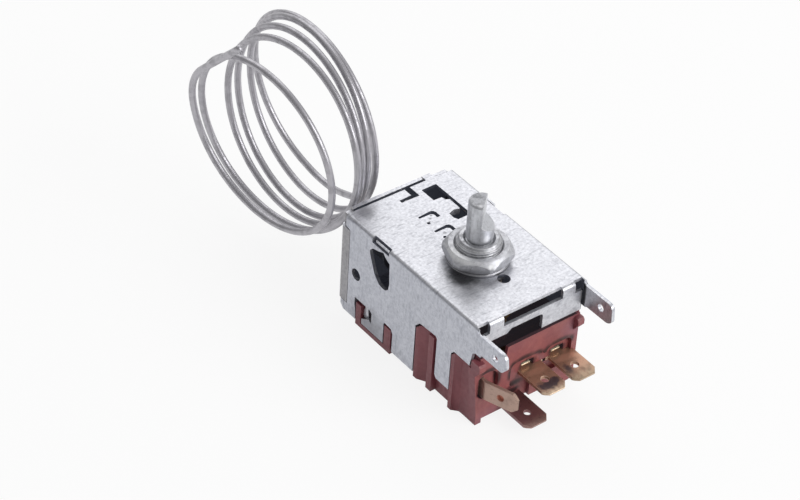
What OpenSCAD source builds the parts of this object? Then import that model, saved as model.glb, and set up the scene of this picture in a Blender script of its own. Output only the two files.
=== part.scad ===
// Capillary thermostat with a folded steel housing, a moulded switch base and a coiled sensing tube.
// Millimetres. The origin is the spindle axis on the outer face of the top plate, +Z runs up the
// spindle, -Y is the terminal face and +Y the side of the capillary.

/* [Housing] */
// Distance of the left wall from the spindle axis
half_w = 14.3; // [12:0.1:18]
// Extra width of the housing on its right side
extra = 0.8; // [0:0.1:2]
// Front fold of the top plate
y_front = -18.2; // [-24:0.1:-14]
// Rear edge of the top plate
y_rear = 27.3; // [20:0.1:34]
// Lower edge of the side walls
wall_low = -26.3; // [-32:0.1:-20]
// Thickness of the steel sheet
sheet = 0.8; // [0.5:0.1:1.2]
// Outer radius of the folds
bend = 1; // [0.9:0.1:2]

/* [Earth tabs] */
// Height of an earth tab
earth_h = 4.8; // [2.8:0.1:6.3]
// Tip of the earth tabs
earth_tip = -27.6; // [-32:0.1:-22]
// Hole diameter of the earth tabs
earth_hole = 1.8; // [1:0.1:2.4]

/* [Bush and spindle] */
// Thread diameter of the mounting bush
bush_d = 10; // [8:0.1:12]
// Upper end of the bush
bush_top = 5.9; // [4:0.1:12]
// Width of the nut across flats
nut_af = 14; // [12:0.5:19]
// Thickness of the nut
nut_h = 3.05; // [2:0.05:5]
// Spindle diameter
spindle_d = 6; // [4:0.1:8]
// Upper end of the spindle
spindle_top = 15.5; // [12:0.1:30]
// Distance of the spindle's flat from the axis
flat_at = 0.6; // [0.5:0.1:2.5]
// Lower end of the flat
flat_low = 8.7; // [7:0.1:14]
// Direction of the flat
flat_dir = -48; // [-180:1:180]

/* [Cam and follower] */
// Turn of the spindle from cold to warm, degrees
turn = 300; // [180:5:330]
// Swing of the follower over that turn, degrees
swing = 13; // [5:0.5:18]
// Follower hinge, distance to the side of the spindle
hinge_x = 9.5; // [8:0.1:12]
// Follower hinge, distance behind the spindle
hinge_y = 6.7; // [5:0.1:9]
// From the hinge to the face that touches the cam
face_off = 2; // [1.5:0.1:3]
// Running gap between the cam and the follower
cam_gap = 0.06; // [0.02:0.01:0.2]

/* [Moulded base] */
// Underside of the base
base_low = -27.4; // [-34:0.1:-24]
// Front face of the base
base_front = -18.3; // [-22:0.1:-15]
// Half width of the base between its ribs
base_x = 13; // [11:0.1:14]
// Top of the base floor
floor_top = -24.6; // [-28:0.1:-20]

/* [Terminals] */
// Width of the horizontal blades
blade_w = 6.3; // [4.8:0.1:6.3]
// Height of the upright blade
side_blade_h = 4.8; // [2.8:0.1:6.3]
// Thickness of the blades
blade_t = 0.8; // [0.5:0.1:0.8]
// Splay of the upright blade, degrees
splay = 20; // [0:1:30]

/* [Sensing element] */
// Outer diameter of the capillary
tube_d = 1.6; // [1.2:0.1:3]
// Radius of the capillary's loops
coil_r = 22.6; // [15:0.1:30]
// Growth of the loop radius over the whole coil
coil_grow = 2; // [0:0.1:4]
// Turn at which the sealed end leaves the coil
coil_first = 0.27; // [0:0.01:0.5]
// Turn at which the tube leaves towards the housing
coil_last = 5.44; // [5:0.01:5.6]
// Bend between the coil and the sealed end, degrees
end_bend = 52; // [0:1:90]
// Radius of that bend
end_r = 15; // [8:0.5:30]
// Length of the straight sealed end
coil_end = 18.9; // [5:0.1:30]
// Steps of the swept tube in one loop
coil_steps = 40; // [24:1:60]

/* [Hidden] */

$fn = 48;
eps = 0.01;

steel = [0.80, 0.81, 0.83];
dark_steel = [0.62, 0.63, 0.65];
brass = [0.76, 0.62, 0.42];
copper = [0.72, 0.45, 0.32];
phenolic = [0.55, 0.28, 0.27];
tube_grey = [0.70, 0.70, 0.71];
ivory = [0.88, 0.86, 0.78];

inner_w = half_w - sheet;
bend_in = bend - sheet;
earth_top = -1.25;
earth_low = earth_top - earth_h;

rear_in = y_rear + 0.9;
rear_out = rear_in + 0.9;

lever_y = 16.6;
lever_z = -19.2;
toe_y = -4.6;
toe_x = 1.85;
push_z = -9.6;

mid_x = 1.85;
right_x = 10.1;
blade_z = -18.5;
low_x = -3.4;
low_z = -24.4;
side_x = -11.3;
side_z = -20.2;

// helpers

// a plate drawn in Y and Z, standing across X
module plate_yz(x, t) {
    translate([x, 0, 0]) rotate([90, 0, 90]) linear_extrude(t) children();
}

// a plate drawn in X and Z, standing across Y, its outer face at y
module plate_xz(y, t) {
    translate([0, y + t, 0]) rotate([90, 0, 0]) linear_extrude(t) children();
}

module box(x0, x1, y0, y1, z0, z1) {
    translate([x0, y0, z0]) cube([x1 - x0, y1 - y0, z1 - z0]);
}

module both_sides() {
    children();
    mirror([1, 0, 0]) children();
}

// the same for shapes drawn beside the right wall
module both_walls() {
    translate([extra, 0, 0]) children();
    mirror([1, 0, 0]) children();
}

module round_rect(x0, x1, y0, y1, r) {
    for (x = [x0 + r, x1 - r]) for (y = [y0 + r, y1 - r]) translate([x, y]) circle(r);
    translate([x0 + r, y0]) square([x1 - x0 - 2 * r, y1 - y0]);
    translate([x0, y0 + r]) square([x1 - x0, y1 - y0 - 2 * r]);
}

function unit(v) = v / norm(v);

// frames carried along a path without twisting
function carried(path, first) = [
    for (i = 0, n = first; i < len(path); i = i + 1,
        t = i < len(path) ? unit(path[min(i + 1, len(path) - 1)] - path[i - 1]) : [0, 0, 1],
        n = i < len(path) ? unit(n - (n * t) * t) : n)
    n];

// a round bar swept along a path, with flat ends
module sweep(path, r, sides, first) {
    n = len(path);
    tangent = [for (i = [0 : n - 1]) unit(path[min(i + 1, n - 1)] - path[max(i - 1, 0)])];
    side = carried(path, unit(first - (first * tangent[0]) * tangent[0]));
    rows = [for (i = [0 : n - 1]) let (u = side[i], v = cross(tangent[i], u))
        for (k = [0 : sides - 1]) let (a = 360 * k / sides) path[i] + r * (cos(a) * u + sin(a) * v)];
    walls = [for (i = [0 : n - 2]) for (k = [0 : sides - 1]) let (m = (k + 1) % sides)
        [i * sides + k, (i + 1) * sides + k, (i + 1) * sides + m, i * sides + m]];
    start = [for (k = [0 : sides - 1]) k];
    finish = [for (k = [sides - 1 : -1 : 0]) (n - 1) * sides + k];
    polyhedron(concat(rows), concat([start], [finish], walls), convexity = 12);
}

// folded housing

// left and right side wall in Y and Z, with the recess for the rear plate and the rib cut-outs;
// the earth tab may sit lower by drop, and cut is the height of its lower corner
module wall_outline(drop, cut) {
    low = earth_low - drop;
    polygon([
        [y_rear, -bend], [y_rear, -2.9], [25.8, -3.4], [25.7, -4], [25.7, -23.9],
        [28, -23.9], [28, -25.2], [27, wall_low], [22.6, wall_low], [22.6, -24.2], [23, -22.2],
        [23, -20.2], [17.6, -20.2], [16.8, -20.8], [16.9, -23.7], [17.7, -23.1], [20.3, -24.6],
        [20.3, -26], [12.5, -26], [12.5, -20.4], [12.1, -20], [9.9, -20.2], [9.3, -21.2],
        [9.3, wall_low], [1.8, wall_low], [1.8, -13.2], [0.4, -11.7], [-5, -11.3],
        [-5.5, -11.8], [-5.5, -21.6], [-6.1, -22.5], [-10.3, -22.5], [-10.3, -12.2],
        [-11.2, -11.2], [-16.3, -11.2], [-17, -7.4], [-17.8, -6.8], [-19.4, -6.8],
        [-19.6, low], [earth_tip + 1.3, low + 0.1], [earth_tip, low + cut],
        [earth_tip + 0.4, earth_top - 0.4], [earth_tip + 1.4, earth_top + 0.1],
        [-18.6, earth_top], [y_front, -bend]]);
}

// opening in the left wall that shows the works
module works_window() {
    polygon([
        [18.6, -3.9], [17.6, -2.9], [15.7, -2.4], [14, -1.7], [13.2, -2.5], [11.7, -3.3],
        [11.6, -5.8], [11.4, -8.7], [11.7, -10.3], [12.6, -11.2], [13.7, -11.3], [15, -11],
        [16.7, -9.2], [17.7, -6.9], [18.5, -4.9]]);
}

module wall_plate(x, drop, cut) {
    difference() {
        plate_yz(x, sheet) wall_outline(drop, cut);
        plate_yz(x - 1, sheet + 2) translate([23, -13.9]) circle(1.5);
        plate_yz(x - 1, sheet + 2) translate([-23.9, -3.8]) circle(earth_hole / 2);
    }
}

module top_outline() {
    polygon([
        [-half_w + bend, y_front + bend], [half_w + extra - bend, y_front + bend],
        [half_w + extra - bend, y_rear - 0.1], [9.7, y_rear], [9.6, rear_out - 0.1],
        [7.4, rear_out - 0.1], [7.4, y_rear], [-half_w + bend, y_rear]]);
}

// openings of the top plate
module top_openings() {
    round_rect(4.4, 8.4, 14, 25.1, 0.2);
    polygon([[4.4, 15.2], [4.3, 13.6], [4.8, 12.6], [7.2, 12.6], [8.3, 13.8], [8.4, 15.2]]);
    polygon([
        [1.4, y_rear + 1], [1.4, 24.9], [-1.9, 24.8], [-1.9, 23.9], [2.9, 23.8], [2.9, y_rear + 1]]);
    translate([0.3, -8.45]) circle(1.43);
    // two bent vents with a small hole below each
    for (y = [17.75, 12.1]) {
        polygon([
            [-2.1, y - 0.4], [-2.1, y + 0.2], [1.4, y + 0.45], [2, y + 0.2], [2.3, y - 0.5],
            [2.3, y - 2.1], [1.4, y - 2.1], [1.4, y - 0.9], [0.9, y - 0.45]]);
        translate([-1.4, y - 2.7]) circle(0.4);
    }
}

// a quarter bend along Y, outer corner at +x, top
module fold_y(x, y0, y1) {
    intersection() {
        translate([x - bend, y0, -bend]) rotate([-90, 0, 0]) difference() {
            cylinder(r = bend, h = y1 - y0);
            translate([0, 0, -1]) cylinder(r = bend_in, h = y1 - y0 + 2);
        }
        box(x - bend, x, y0, y1, -bend, 0);
    }
}

// the front bend along X
module fold_front(x0, x1) {
    intersection() {
        translate([x0, y_front + bend, -bend]) rotate([0, 90, 0]) difference() {
            cylinder(r = bend, h = x1 - x0);
            translate([0, 0, -1]) cylinder(r = bend_in, h = x1 - x0 + 2);
        }
        box(x0, x1, y_front, y_front + bend, -bend, 0);
    }
}

module front_flange() {
    flange_end = half_w + extra - sheet - 0.1;
    difference() {
        plate_xz(y_front, sheet) polygon([
            [-11.1, -bend], [-11.1, -2.7], [-12.6, -2.9], [-11.1, -4.95], [-6.3, -4.95],
            [-5.2, -4.05], [2.6, -4.05], [3.2, -4.3], [3.4, -4.9], [3.4, -8.1],
            [flange_end, -8.1], [flange_end, -2.7], [12, -2.7], [12, -bend]]);
        box(-7.4, 8.6, y_front - 1, y_front + 2, -2.5, 0);
    }
}

module frame() {
    color(steel) {
        difference() {
            union() {
                translate([0, 0, -sheet]) linear_extrude(sheet) top_outline();
                wall_plate(-half_w, 0, 1.7);
                wall_plate(inner_w + extra, 0.4, 1);
                both_walls() fold_y(half_w, y_front, y_rear);
                fold_front(-11.1, -7.4);
                fold_front(8.6, 12);
                front_flange();
            }
            translate([0, 0, -2]) linear_extrude(3) top_openings();
            plate_yz(-half_w - 1, 3) works_window();
            // windows through the side folds
            box(-half_w - 1, -half_w + 0.95, 12.1, 18, -1.4, 1);
            translate([extra, 0, 0]) box(half_w - 0.95, half_w + 1, 8.5, 18, -1.4, 1);
            // slot and corner reliefs along the front fold
            box(-7.4, 8.6, y_front - 1, y_front + bend + eps, -2.5, 1);
            box(-13.9, -11.1, y_front - 1, y_front + bend + eps, -2.7, 1);
            box(12, inner_w + extra, y_front - 1, y_front + bend + eps, -2.7, 1);
            translate([0, 0, -2]) cylinder(d = bush_d + 0.1, h = 3);
        }
        // hooks lanced inwards above the rear clips
        both_walls() plate_yz(inner_w - 0.4, 0.45) polygon([
            [18.6, -19.4], [19.9, -19.4], [20, -21.5], [20.4, -22.6], [20.5, -24], [20, -24.8],
            [18.9, -25.3], [18.2, -25.3], [18.6, -24.4], [18.7, -23.5], [18.9, -21.8]]);
    }
}

// rear plate with its two flanges lying in the recesses of the side walls
module rear_plate() {
    color(steel) {
        difference() {
            union() {
                box(-half_w + bend, half_w + extra - bend, rear_in, rear_out, -23.8, -0.9);
                box(-11.8, 7.2, rear_in, rear_out, -1, -0.15);
                // lower lip that closes the gap behind the base
                box(-12.8, 13.6, 23, rear_in + eps, -23.8, -23);
                both_walls() {
                    box(inner_w, half_w, 25.9, rear_out - bend, -23.8, -3.6);
                    intersection() {
                        translate([half_w - bend, rear_out - bend, -23.8]) difference() {
                            cylinder(r = bend, h = 20.2);
                            translate([0, 0, -1]) cylinder(r = bend_in, h = 22);
                        }
                        box(half_w - bend, half_w, rear_out - bend, rear_out, -23.8, -3.6);
                    }
                }
            }
            // hole for the element's neck
            translate([0, rear_in - 1, push_z]) rotate([-90, 0, 0]) cylinder(d = 5.2, h = 3);
            // clearance of the side recess ends
            both_walls() box(half_w - bend, half_w + 1, rear_in - 0.1, rear_out + 1, -3.6, 0);
        }
    }
}

// inner bracket under the top plate, hooked into the fold windows
module bracket() {
    color(dark_steel) {
        difference() {
            union() {
                box(-13.3, 13.3 + extra, 9.4, 20.6, -1.7, -0.9);
                both_walls() {
                    box(13.2, 13.8, 12.4, 17.2, -1.3, -0.85);
                    box(13.65, 14.1, 12.4, 17.2, -0.95, -0.12);
                }
            }
            box(3.7, 9, 11.8, 23, -2, 0);
            translate([-hinge_x, hinge_y + 4.2, -2]) cylinder(r = 0.4, h = 2);
        }
        // tongue seen through the opening of the top plate
        translate([0, 0, -1.7]) linear_extrude(1.58) polygon([
            [4.5, 15.4], [6.2, 15.95], [7.6, 15.5], [7.75, 19.3], [6.9, 19.7], [6.6, 20.8], [4.5, 20.9]]);
        box(3.6, 4.6, 15.5, 20.6, -1.7, -0.9);
        // arm that carries the follower pin
        difference() {
            box(-13.3, -7.2, 4.4, 9.5, -1.7, -0.9);
            translate([-hinge_x, hinge_y, -2]) cylinder(r = 1.02, h = 2);
        }
    }
}

// bush, nut and spindle

// half section of the bush, clinched over the top plate
module bush_section() {
    crest = bush_d / 2;
    bore = spindle_d / 2 + 0.05;
    polygon([
        [bore, -3.4], [4.4, -3.4], [4.4, -1.9], [7, -1.9], [7, -sheet], [crest, -sheet],
        [crest, 0], [7, 0], [7, 0.7], [6.8, 0.95], [crest, 0.95], [crest, bush_top - 0.8],
        [crest - 0.65, bush_top - 0.15], [crest - 0.85, bush_top], [bore + 0.5, bush_top],
        [bore, bush_top - 0.6]]);
}

module bush() {
    color(steel) rotate_extrude($fn = 72) bush_section();
}

module nut() {
    low = 1.05;
    tip = nut_af / 2 / cos(30);
    color(steel) difference() {
        intersection() {
            translate([0, 0, low]) rotate([0, 0, -46]) cylinder(r = tip, h = nut_h, $fn = 6);
            rotate_extrude($fn = 72) polygon([
                [0, low], [nut_af / 2 - 0.3, low], [tip - 0.3, low + 0.9],
                [tip - 0.3, low + nut_h - 1.3], [nut_af / 2 - 0.5, low + nut_h], [0, low + nut_h]]);
        }
        translate([0, 0, low - 1]) cylinder(d = bush_d + 0.1, h = nut_h + 2);
        translate([0, 0, low + nut_h - 0.4]) cylinder(d1 = bush_d + 0.1, d2 = bush_d + 1, h = 0.45);
    }
}

module spindle() {
    r = spindle_d / 2;
    groove = bush_top - 0.5;
    color(steel) difference() {
        rotate_extrude($fn = 72) polygon([
            [0, -6.9], [r - 0.3, -6.9], [r, -6.6], [r, groove], [r - 0.25, groove + 0.1],
            [r - 0.25, groove + 0.5], [r, groove + 0.6], [r, spindle_top - 0.35],
            [r - 0.35, spindle_top], [0, spindle_top]]);
        // flat with its sloping lower end
        rotate([0, 0, flat_dir]) translate([0, 5, 0]) rotate([90, 0, 0]) linear_extrude(10) polygon([
            [flat_at, flat_low + 1.5], [flat_at + 0.5, flat_low + 1.2], [r + 0.1, flat_low],
            [r + 2, flat_low], [r + 2, spindle_top + 1], [flat_at, spindle_top + 1]]);
        // key flat for the cam
        rotate([0, 0, 180]) translate([2.2, -5, -7]) cube([10, 10, 3]);
    }
}

// cam and follower

// distance of the follower's face from the spindle axis when the spindle has turned by b degrees
function face_at(b) = let (a = swing * b / turn)
    hinge_y * cos(a) + hinge_x * sin(a) - face_off - cam_gap;

// point where the follower's face touches the cam then, seen from the cam
function cam_point(b) = let (
    a = swing * b / turn,
    dir = 90 + a - b,
    slope = (hinge_x * cos(a) - hinge_y * sin(a)) * swing / (swing - turn))
    face_at(b) * [cos(dir), sin(dir)] + slope * [-sin(dir), cos(dir)];

module cam() {
    color(ivory) difference() {
        union() {
            translate([0, 0, -6.3]) linear_extrude(2.5)
                polygon([for (b = [0 : 5 : turn]) cam_point(b)]);
            translate([0, 0, -6.9]) cylinder(r = 4, h = 0.7);
        }
        difference() {
            translate([0, 0, -7]) cylinder(r = spindle_d / 2 + 0.03, h = 4);
            rotate([0, 0, 180]) translate([2.23, -5, -8]) cube([10, 10, 4]);
        }
    }
}

module follower() {
    color(dark_steel) {
        difference() {
            union() {
                translate([-hinge_x, hinge_y, -11]) cylinder(r = 2, h = 9);
                box(-hinge_x, 7.4, hinge_y - face_off, hinge_y - face_off + 1, -11, -2);
                // stiffening lip
                box(-hinge_x + 3, 7.4, hinge_y - face_off + eps, hinge_y + 1, -3, -2);
            }
            translate([-hinge_x, hinge_y, -12]) cylinder(r = 1.05, h = 12);
        }
        // spring guide
        translate([0, hinge_y - face_off + 1 - eps, push_z + 2]) rotate([-90, 0, 0])
            cylinder(r = 1.9, h = 1.8);
    }
}

module follower_pin() {
    color(steel) {
        translate([-hinge_x, hinge_y, -11.6]) cylinder(r = 1, h = 10.7);
        translate([-hinge_x, hinge_y, -12.1]) cylinder(r = 1.7, h = 0.7);
    }
}

module range_spring() {
    y0 = hinge_y - face_off + 1.1;
    y1 = lever_y - 2.1;
    turns = 5;
    steps = 18;
    r = 2.6;
    wire = 0.45;
    path = [for (i = [0 : turns * steps]) let (t = i / (turns * steps), a = 360 * turns * t)
        [r * cos(a), y0 + wire + (y1 - y0 - 2 * wire) * t, push_z + 2 + r * sin(a)]];
    color(steel) sweep(path, wire, 8, [1, 0, 0]);
}

// bell-crank lever between the element, the range spring and the switch
module main_lever() {
    back = lever_y - 1;
    front = back - 1;
    color(steel) difference() {
        union() {
            box(-5.5, 5.5, front, back, -20.6, -4.6);
            both_sides() {
                plate_yz(5.5 - 1, 1) union() {
                    translate([lever_y, lever_z]) circle(1.9);
                    translate([front, lever_z - 1.4]) square([lever_y - front, 3.2]);
                }
            }
            box(toe_x - 2.4, toe_x + 2.4, toe_y - 1.3, front + eps, -13, -12);
            // stiffening ridge along the arm
            box(toe_x - 0.5, toe_x + 0.5, toe_y + 3, front + eps, -12 - eps, -11.5);
        }
        plate_yz(-8, 16) translate([lever_y, lever_z]) circle(1.04);
        // seat of the push pad
        translate([0, front - 1, push_z]) rotate([-90, 0, 0]) cylinder(r = 1.02, h = 4);
    }
}

module lever_pin() {
    color(steel) plate_yz(-13.2, 26.4 + extra) translate([lever_y, lever_z]) circle(1);
}

module push_pad() {
    color(brass) translate([0, lever_y - 1.9, push_z]) rotate([-90, 0, 0]) {
        cylinder(r = 0.98, h = 1.1);
        translate([0, 0, 0.92]) cylinder(r = 2.4, h = 0.9);
    }
}

// sensing element

module bellows() {
    y0 = lever_y - 0.05;
    y1 = 20.9;
    waves = 3;
    outer = 6.2;
    inner = 4.8;
    wall = 0.18;
    steps = 12;
    n = waves * steps;
    mid = (outer + inner) / 2;
    amp = (outer - inner) / 2;
    length = y1 - y0;
    wave = [for (i = [0 : n]) [mid - amp * cos(360 * waves * i / n), 0.35 + (length - 0.5) * i / n]];
    back = [for (i = [n : -1 : 0]) [wave[i][0] - wall, wave[i][1]]];
    color(brass) translate([0, y0, push_z]) rotate([-90, 0, 0]) rotate_extrude($fn = 48)
        polygon(concat([[0, 0], [inner, 0], [inner, 0.35]], wave, back, [[inner - wall, 0.2], [0, 0.2]]));
}

module element_cup() {
    color(steel) translate([0, 20.95, push_z]) rotate([-90, 0, 0]) rotate_extrude($fn = 64)
        polygon([
            [0, 5.6], [0, 6.6], [2.5, 6.6], [2.5, 5.9], [7.4, 5.9], [7.8, 5.3], [7.8, 0.9], [8.4, 0.5],
            [8.4, 0], [4.4, 0], [4.4, 0.5], [7.1, 0.9], [7.1, 5.1], [2.2, 5.1], [2.2, 5.6]]);
}

module ferrule() {
    color(brass) translate([0, 27.58, push_z]) rotate([-90, 0, 0]) rotate_extrude($fn = 36)
        polygon([[0, 0], [2.4, 0], [2.4, 0.9], [1.7, 1.2], [1.3, 3.4], [tube_d / 2 + 0.04, 3.6],
            [tube_d / 2 + 0.04, 1.2], [0, 1.2]]);
}

// coil of the capillary: position of the loops' centre and lean of their axis at every turn
loop_x = [-25.4, -20.6, -11.4, -9.3, -5.4, -1.6, 4.5];
loop_y = [44.8, 49.4, 51.8, 53.2, 54.3, 57, 57.5];
loop_z = [15.2, 6.8, 5.4, 5.7, 6, 4.5, 2.5];
loop_yaw = [7.9, 8.3, 7.6, 2.6, -0.1, 1.2, 4.7];
loop_lean = [4.8, 5, -0.6, -3.3, -0.4, 4.4, 10.7];

// smooth value between the turns
function at_turn(v, s) = let (
    n = len(v) - 1,
    i = min(floor(s), n - 1),
    t = s - i,
    a = i == 0 ? 2 * v[0] - v[1] : v[i - 1],
    b = v[i],
    c = v[i + 1],
    d = i == n - 1 ? 2 * v[n] - v[n - 1] : v[i + 2])
    b + 0.5 * t * (c - a + t * (2 * a - 5 * b + 4 * c - d + t * (3 * (b - c) + d - a)));

function coil_point(s) = let (
    yaw = at_turn(loop_yaw, s),
    lean = at_turn(loop_lean, s),
    axis = [cos(yaw) * cos(lean), sin(yaw) * cos(lean), sin(lean)],
    across = unit(cross([0, 0, 1], axis)),
    up = cross(axis, across),
    r = coil_r + coil_grow * (s / 5.4 - 0.5))
    [at_turn(loop_x, s), at_turn(loop_y, s), at_turn(loop_z, s)]
    + r * (cos(360 * s) * up + sin(360 * s) * across);

function bezier(a, b, c, d, t) =
    pow(1 - t, 3) * a + 3 * t * pow(1 - t, 2) * b + 3 * t * t * (1 - t) * c + pow(t, 3) * d;

function capillary_path() = let (
    n = round((coil_last - coil_first) * coil_steps),
    loops = [for (i = [0 : n]) coil_point(coil_first + (coil_last - coil_first) * i / n)],
    lead = unit(loops[0] - loops[1]),
    middle = [for (row = [loop_x, loop_y, loop_z]) at_turn(row, coil_first)] - loops[0],
    inward = unit(middle - (middle * lead) * lead),
    bent = [for (k = [1 : 6]) let (a = end_bend * k / 6)
        loops[0] + end_r * (sin(a) * lead + (1 - cos(a)) * inward)],
    straight = cos(end_bend) * lead + sin(end_bend) * inward,
    away = unit(loops[n] - loops[n - 1]),
    port = [0, 31.4, push_z])
    concat(
        [for (k = [4 : -1 : 1]) bent[5] + straight * coil_end * k / 4],
        [for (k = [5 : -1 : 0]) bent[k]],
        loops,
        [for (k = [1 : 14]) bezier(loops[n], loops[n] + 14 * away, port + [0, 14, 0], port, k / 14)],
        [[0, 30.2, push_z], [0, 29, push_z]]);

module capillary() {
    color(tube_grey) sweep(capillary_path(), tube_d / 2, 10, [1, 0, 0]);
}

// moulded base

// rib profiles of the left side, drawn in X and Y
module rib_pair() {
    polygon([
        [-12.4, 1.5], [-half_w, 1.5], [-half_w, 0.3], [-13.2, -1.6], [-13.1, -2.6],
        [-half_w, -2.9], [-half_w, -4.6], [-12.4, -4.6]]);
}

module corner_rib() {
    polygon([
        [-11.9, -10.5], [-half_w, -10.5], [-half_w, -11.6], [-13.1, -12.9], [-base_x, -13.7],
        [-base_x, base_front], [-11.9, base_front]]);
}

module base_side() {
    // foot rail and inner wall
    box(-base_x, -11.4, base_front, 22.4, base_low, floor_top);
    box(-base_x, -11.9, -16.2, 22.4, floor_top - eps, -20);
    box(-base_x, -11.9, -16, -1, -20 - eps, -12.2);
    box(-base_x + 0.1, -11.9, 14.4, 18.8, -20 - eps, -17);
    // rib pair and front corner rib
    intersection() {
        translate([0, 0, base_low]) linear_extrude(-12.3 - base_low) rib_pair();
        plate_yz(-half_w - 1, 5) polygon([
            [2, base_low - 1], [2, -14], [0.2, -12.3], [-5, -12.3], [-5, base_low - 1]]);
    }
    intersection() {
        translate([0, 0, base_low]) linear_extrude(-11.5 - base_low) corner_rib();
        plate_yz(-half_w - 1, 5) polygon([
            [-10.4, base_low - 1], [-10.4, -12.6], [-11.4, -11.5], [-19, -11.5], [-19, base_low - 1]]);
    }
    // clip posts with the rail below the wall
    box(-half_w, -12.4, 20.6, 22.4, base_low, -21.3);
    box(-half_w, -12.4, 9.9, 12.2, base_low, -20.7);
    box(-half_w, -12.4, 9.9, 22.4, base_low, -26.15);
    // lug beside the earth tab
    plate_yz(-half_w, 1.7) polygon([
        [-16.9, -9.4], [-19.3, -9.4], [-19.7, -9.9], [-19.7, -11.1], [-18.4, -12.9], [-16.9, -12.9]]);
}

// recesses of the front face around the terminals, drawn in X and Z
module terminal_recesses() {
    // two lobes over the upper blades
    round_rect(-4.2, 5, -21.6, -14.8, 1.6);
    round_rect(5.5, 12.6, -21.6, -14.7, 1.6);
    translate([-2, -21.6]) square([13, 5.7]);
    round_rect(-5.4, 1.6, -28, -21.3, 1.6);
    // arch over the upright blade
    round_rect(-13.5, -7.6, -20.5, -13.6, 2.6);
}

module base() {
    recess = 0.9;
    front_in = base_front + 2.4;
    color(phenolic) difference() {
        union() {
            base_side();
            intersection() {
                translate([extra, 0, 0]) mirror([1, 0, 0]) base_side();
                box(0, 20, -17, 30, -30, 0);
            }
            mirror([1, 0, 0]) intersection() {
                base_side();
                box(-half_w - 1, 0, -20, -10, -30, 0);
            }
            box(-base_x, base_x + extra / 2, base_front + 0.2, 22.4, -26.2, floor_top);
            box(-base_x, base_x, base_front, -16, -26.2, floor_top);
            // slanted corner beside the upright blade
            plate_xz(base_front, 2.1) polygon([
                [-base_x, -24.5], [-half_w + 0.05, -13], [-half_w + 0.05, -11.6], [-12, -11.6],
                [-12, -24.5]]);
            box(-base_x, base_x, 20.8, 22.4, floor_top - eps, -21.5);
            // front wall with its stepped upper edge
            plate_xz(base_front, 2.4) polygon([
                [-base_x, -26.2], [13.3, -26.2], [13.3, -8.8], [-5.6, -9], [-5.8, -10.9],
                [-9.4, -10.9], [-10, -8.7], [-base_x, -8.7]]);
            box(13.2, 14.1, base_front, -17.1, base_low, -8.8);
            // bridge that guides the pusher and holds the screw
            box(-12, 12, -10.3, -2.2, -17.5, -15.3);
            translate([0.3, -8.45, -15.4]) cylinder(r = 2.1, h = 2.2);
            // contact chamber walls
            box(-4.6, -3.6, -15.9, 2, floor_top - eps, -17.4);
            box(7.2, 8.2, -13.8, 2, floor_top - eps, -17.4);
            box(-4.6, 8.2, 1, 2, floor_top - eps, -19.5);
        }
        plate_xz(base_front - 1, 1 + recess) terminal_recesses();
        // the front wall is thin above the terminals
        box(-12.3, 12.5, base_front + 0.8, front_in + eps, -13.9, -8);
        // slots of the horizontal blades with the windows above them
        for (x = [mid_x, right_x]) {
            box(x - blade_w / 2 - 0.05, x + blade_w / 2 + 0.05, base_front - 1, front_in + 1,
                blade_z - blade_t - 0.05, blade_z + 0.05);
            box(x - 2.5, x + 1, base_front - 1, front_in + 1, blade_z - 0.1, -16.65);
            box(x - 2.6, x + 1.1, base_front + 1, front_in + 1, blade_z - 0.1, -16.3);
        }
        box(4.6, 7.4, base_front - 1, front_in + 1, blade_z - blade_t - 0.05, blade_z + 0.05);
        // slot and bed of the lower blade
        box(low_x - blade_w / 2 - 0.05, low_x + blade_w / 2 + 0.05, base_front - 1, -9,
            low_z - blade_t - 0.05, low_z + 0.05);
        box(-2.55, 3.95, -10.05, -1.35, low_z - blade_t - 0.05, low_z + 0.5);
        box(-4.7, -3.5, -15.9, -9.5, low_z - 0.4, low_z + 0.1);
        // slot of the upright blade
        box(side_x - 0.9, side_x + 0.45, base_front - 1, front_in + 0.5, side_z - 0.15, -15.2);
        // guide bores
        translate([toe_x, toe_y, -18]) cylinder(r = 1.26, h = 4);
        translate([0.3, -8.45, -18]) cylinder(r = 1.5, h = 6);
        plate_yz(-15, 30) translate([lever_y, lever_z]) circle(1.03);
        // openings behind the hooks of the housing
        box(-15, -11, 15.9, 20.5, -24.3, -19.9);
        box(11, 16, 15.9, 20.5, -24.3, -19.9);
        // strap wells in the floor
        for (y = [5, 12]) box(-9, 9, y, y + 4.5, floor_top - 0.6, -24);
    }
}

// terminals

// a flat blade lying in X and Y, its upper face at 0 and its tip towards -Y
module blade(width, root, tip, hole_y, hole_d = 1.9) {
    w = width / 2;
    difference() {
        intersection() {
            translate([0, 0, -blade_t]) linear_extrude(blade_t) polygon([
                [-w, root], [-w, tip + 1.4], [-w + 1.1, tip], [w - 1.1, tip], [w, tip + 1.4], [w, root]]);
            plate_yz(-w, width) polygon([
                [root, 0], [tip + 0.9, 0], [tip, -0.25], [tip, -blade_t + 0.25],
                [tip + 0.9, -blade_t], [root, -blade_t]]);
        }
        translate([0, hole_y, -blade_t - 1]) cylinder(d = hole_d, h = blade_t + 2);
    }
}

module terminal_mid() {
    color(brass) translate([mid_x, 0, blade_z]) {
        blade(blade_w, -15.6, -26.8, -22.6);
        box(-2.4, 2.2, -15.7, -10.5, -blade_t, 0);
        // finger that shows in the window above the slot
        box(-2.2, 0.2, -15.7, -14.9, -blade_t, 1.15);
        box(-2.2, 0.2, base_front + 1, -14.9, 0.75, 1.15);
        box(-2, 2, -11.3, -10.5, -3.9, 0);
        box(-2, 2, -11.3, -7.5, -3.9, -3.1);
        // shoulder that shows beside the slot
        box(2.9, 3.6, -17.5, -16.1, -blade_t, 0);
    }
}

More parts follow.
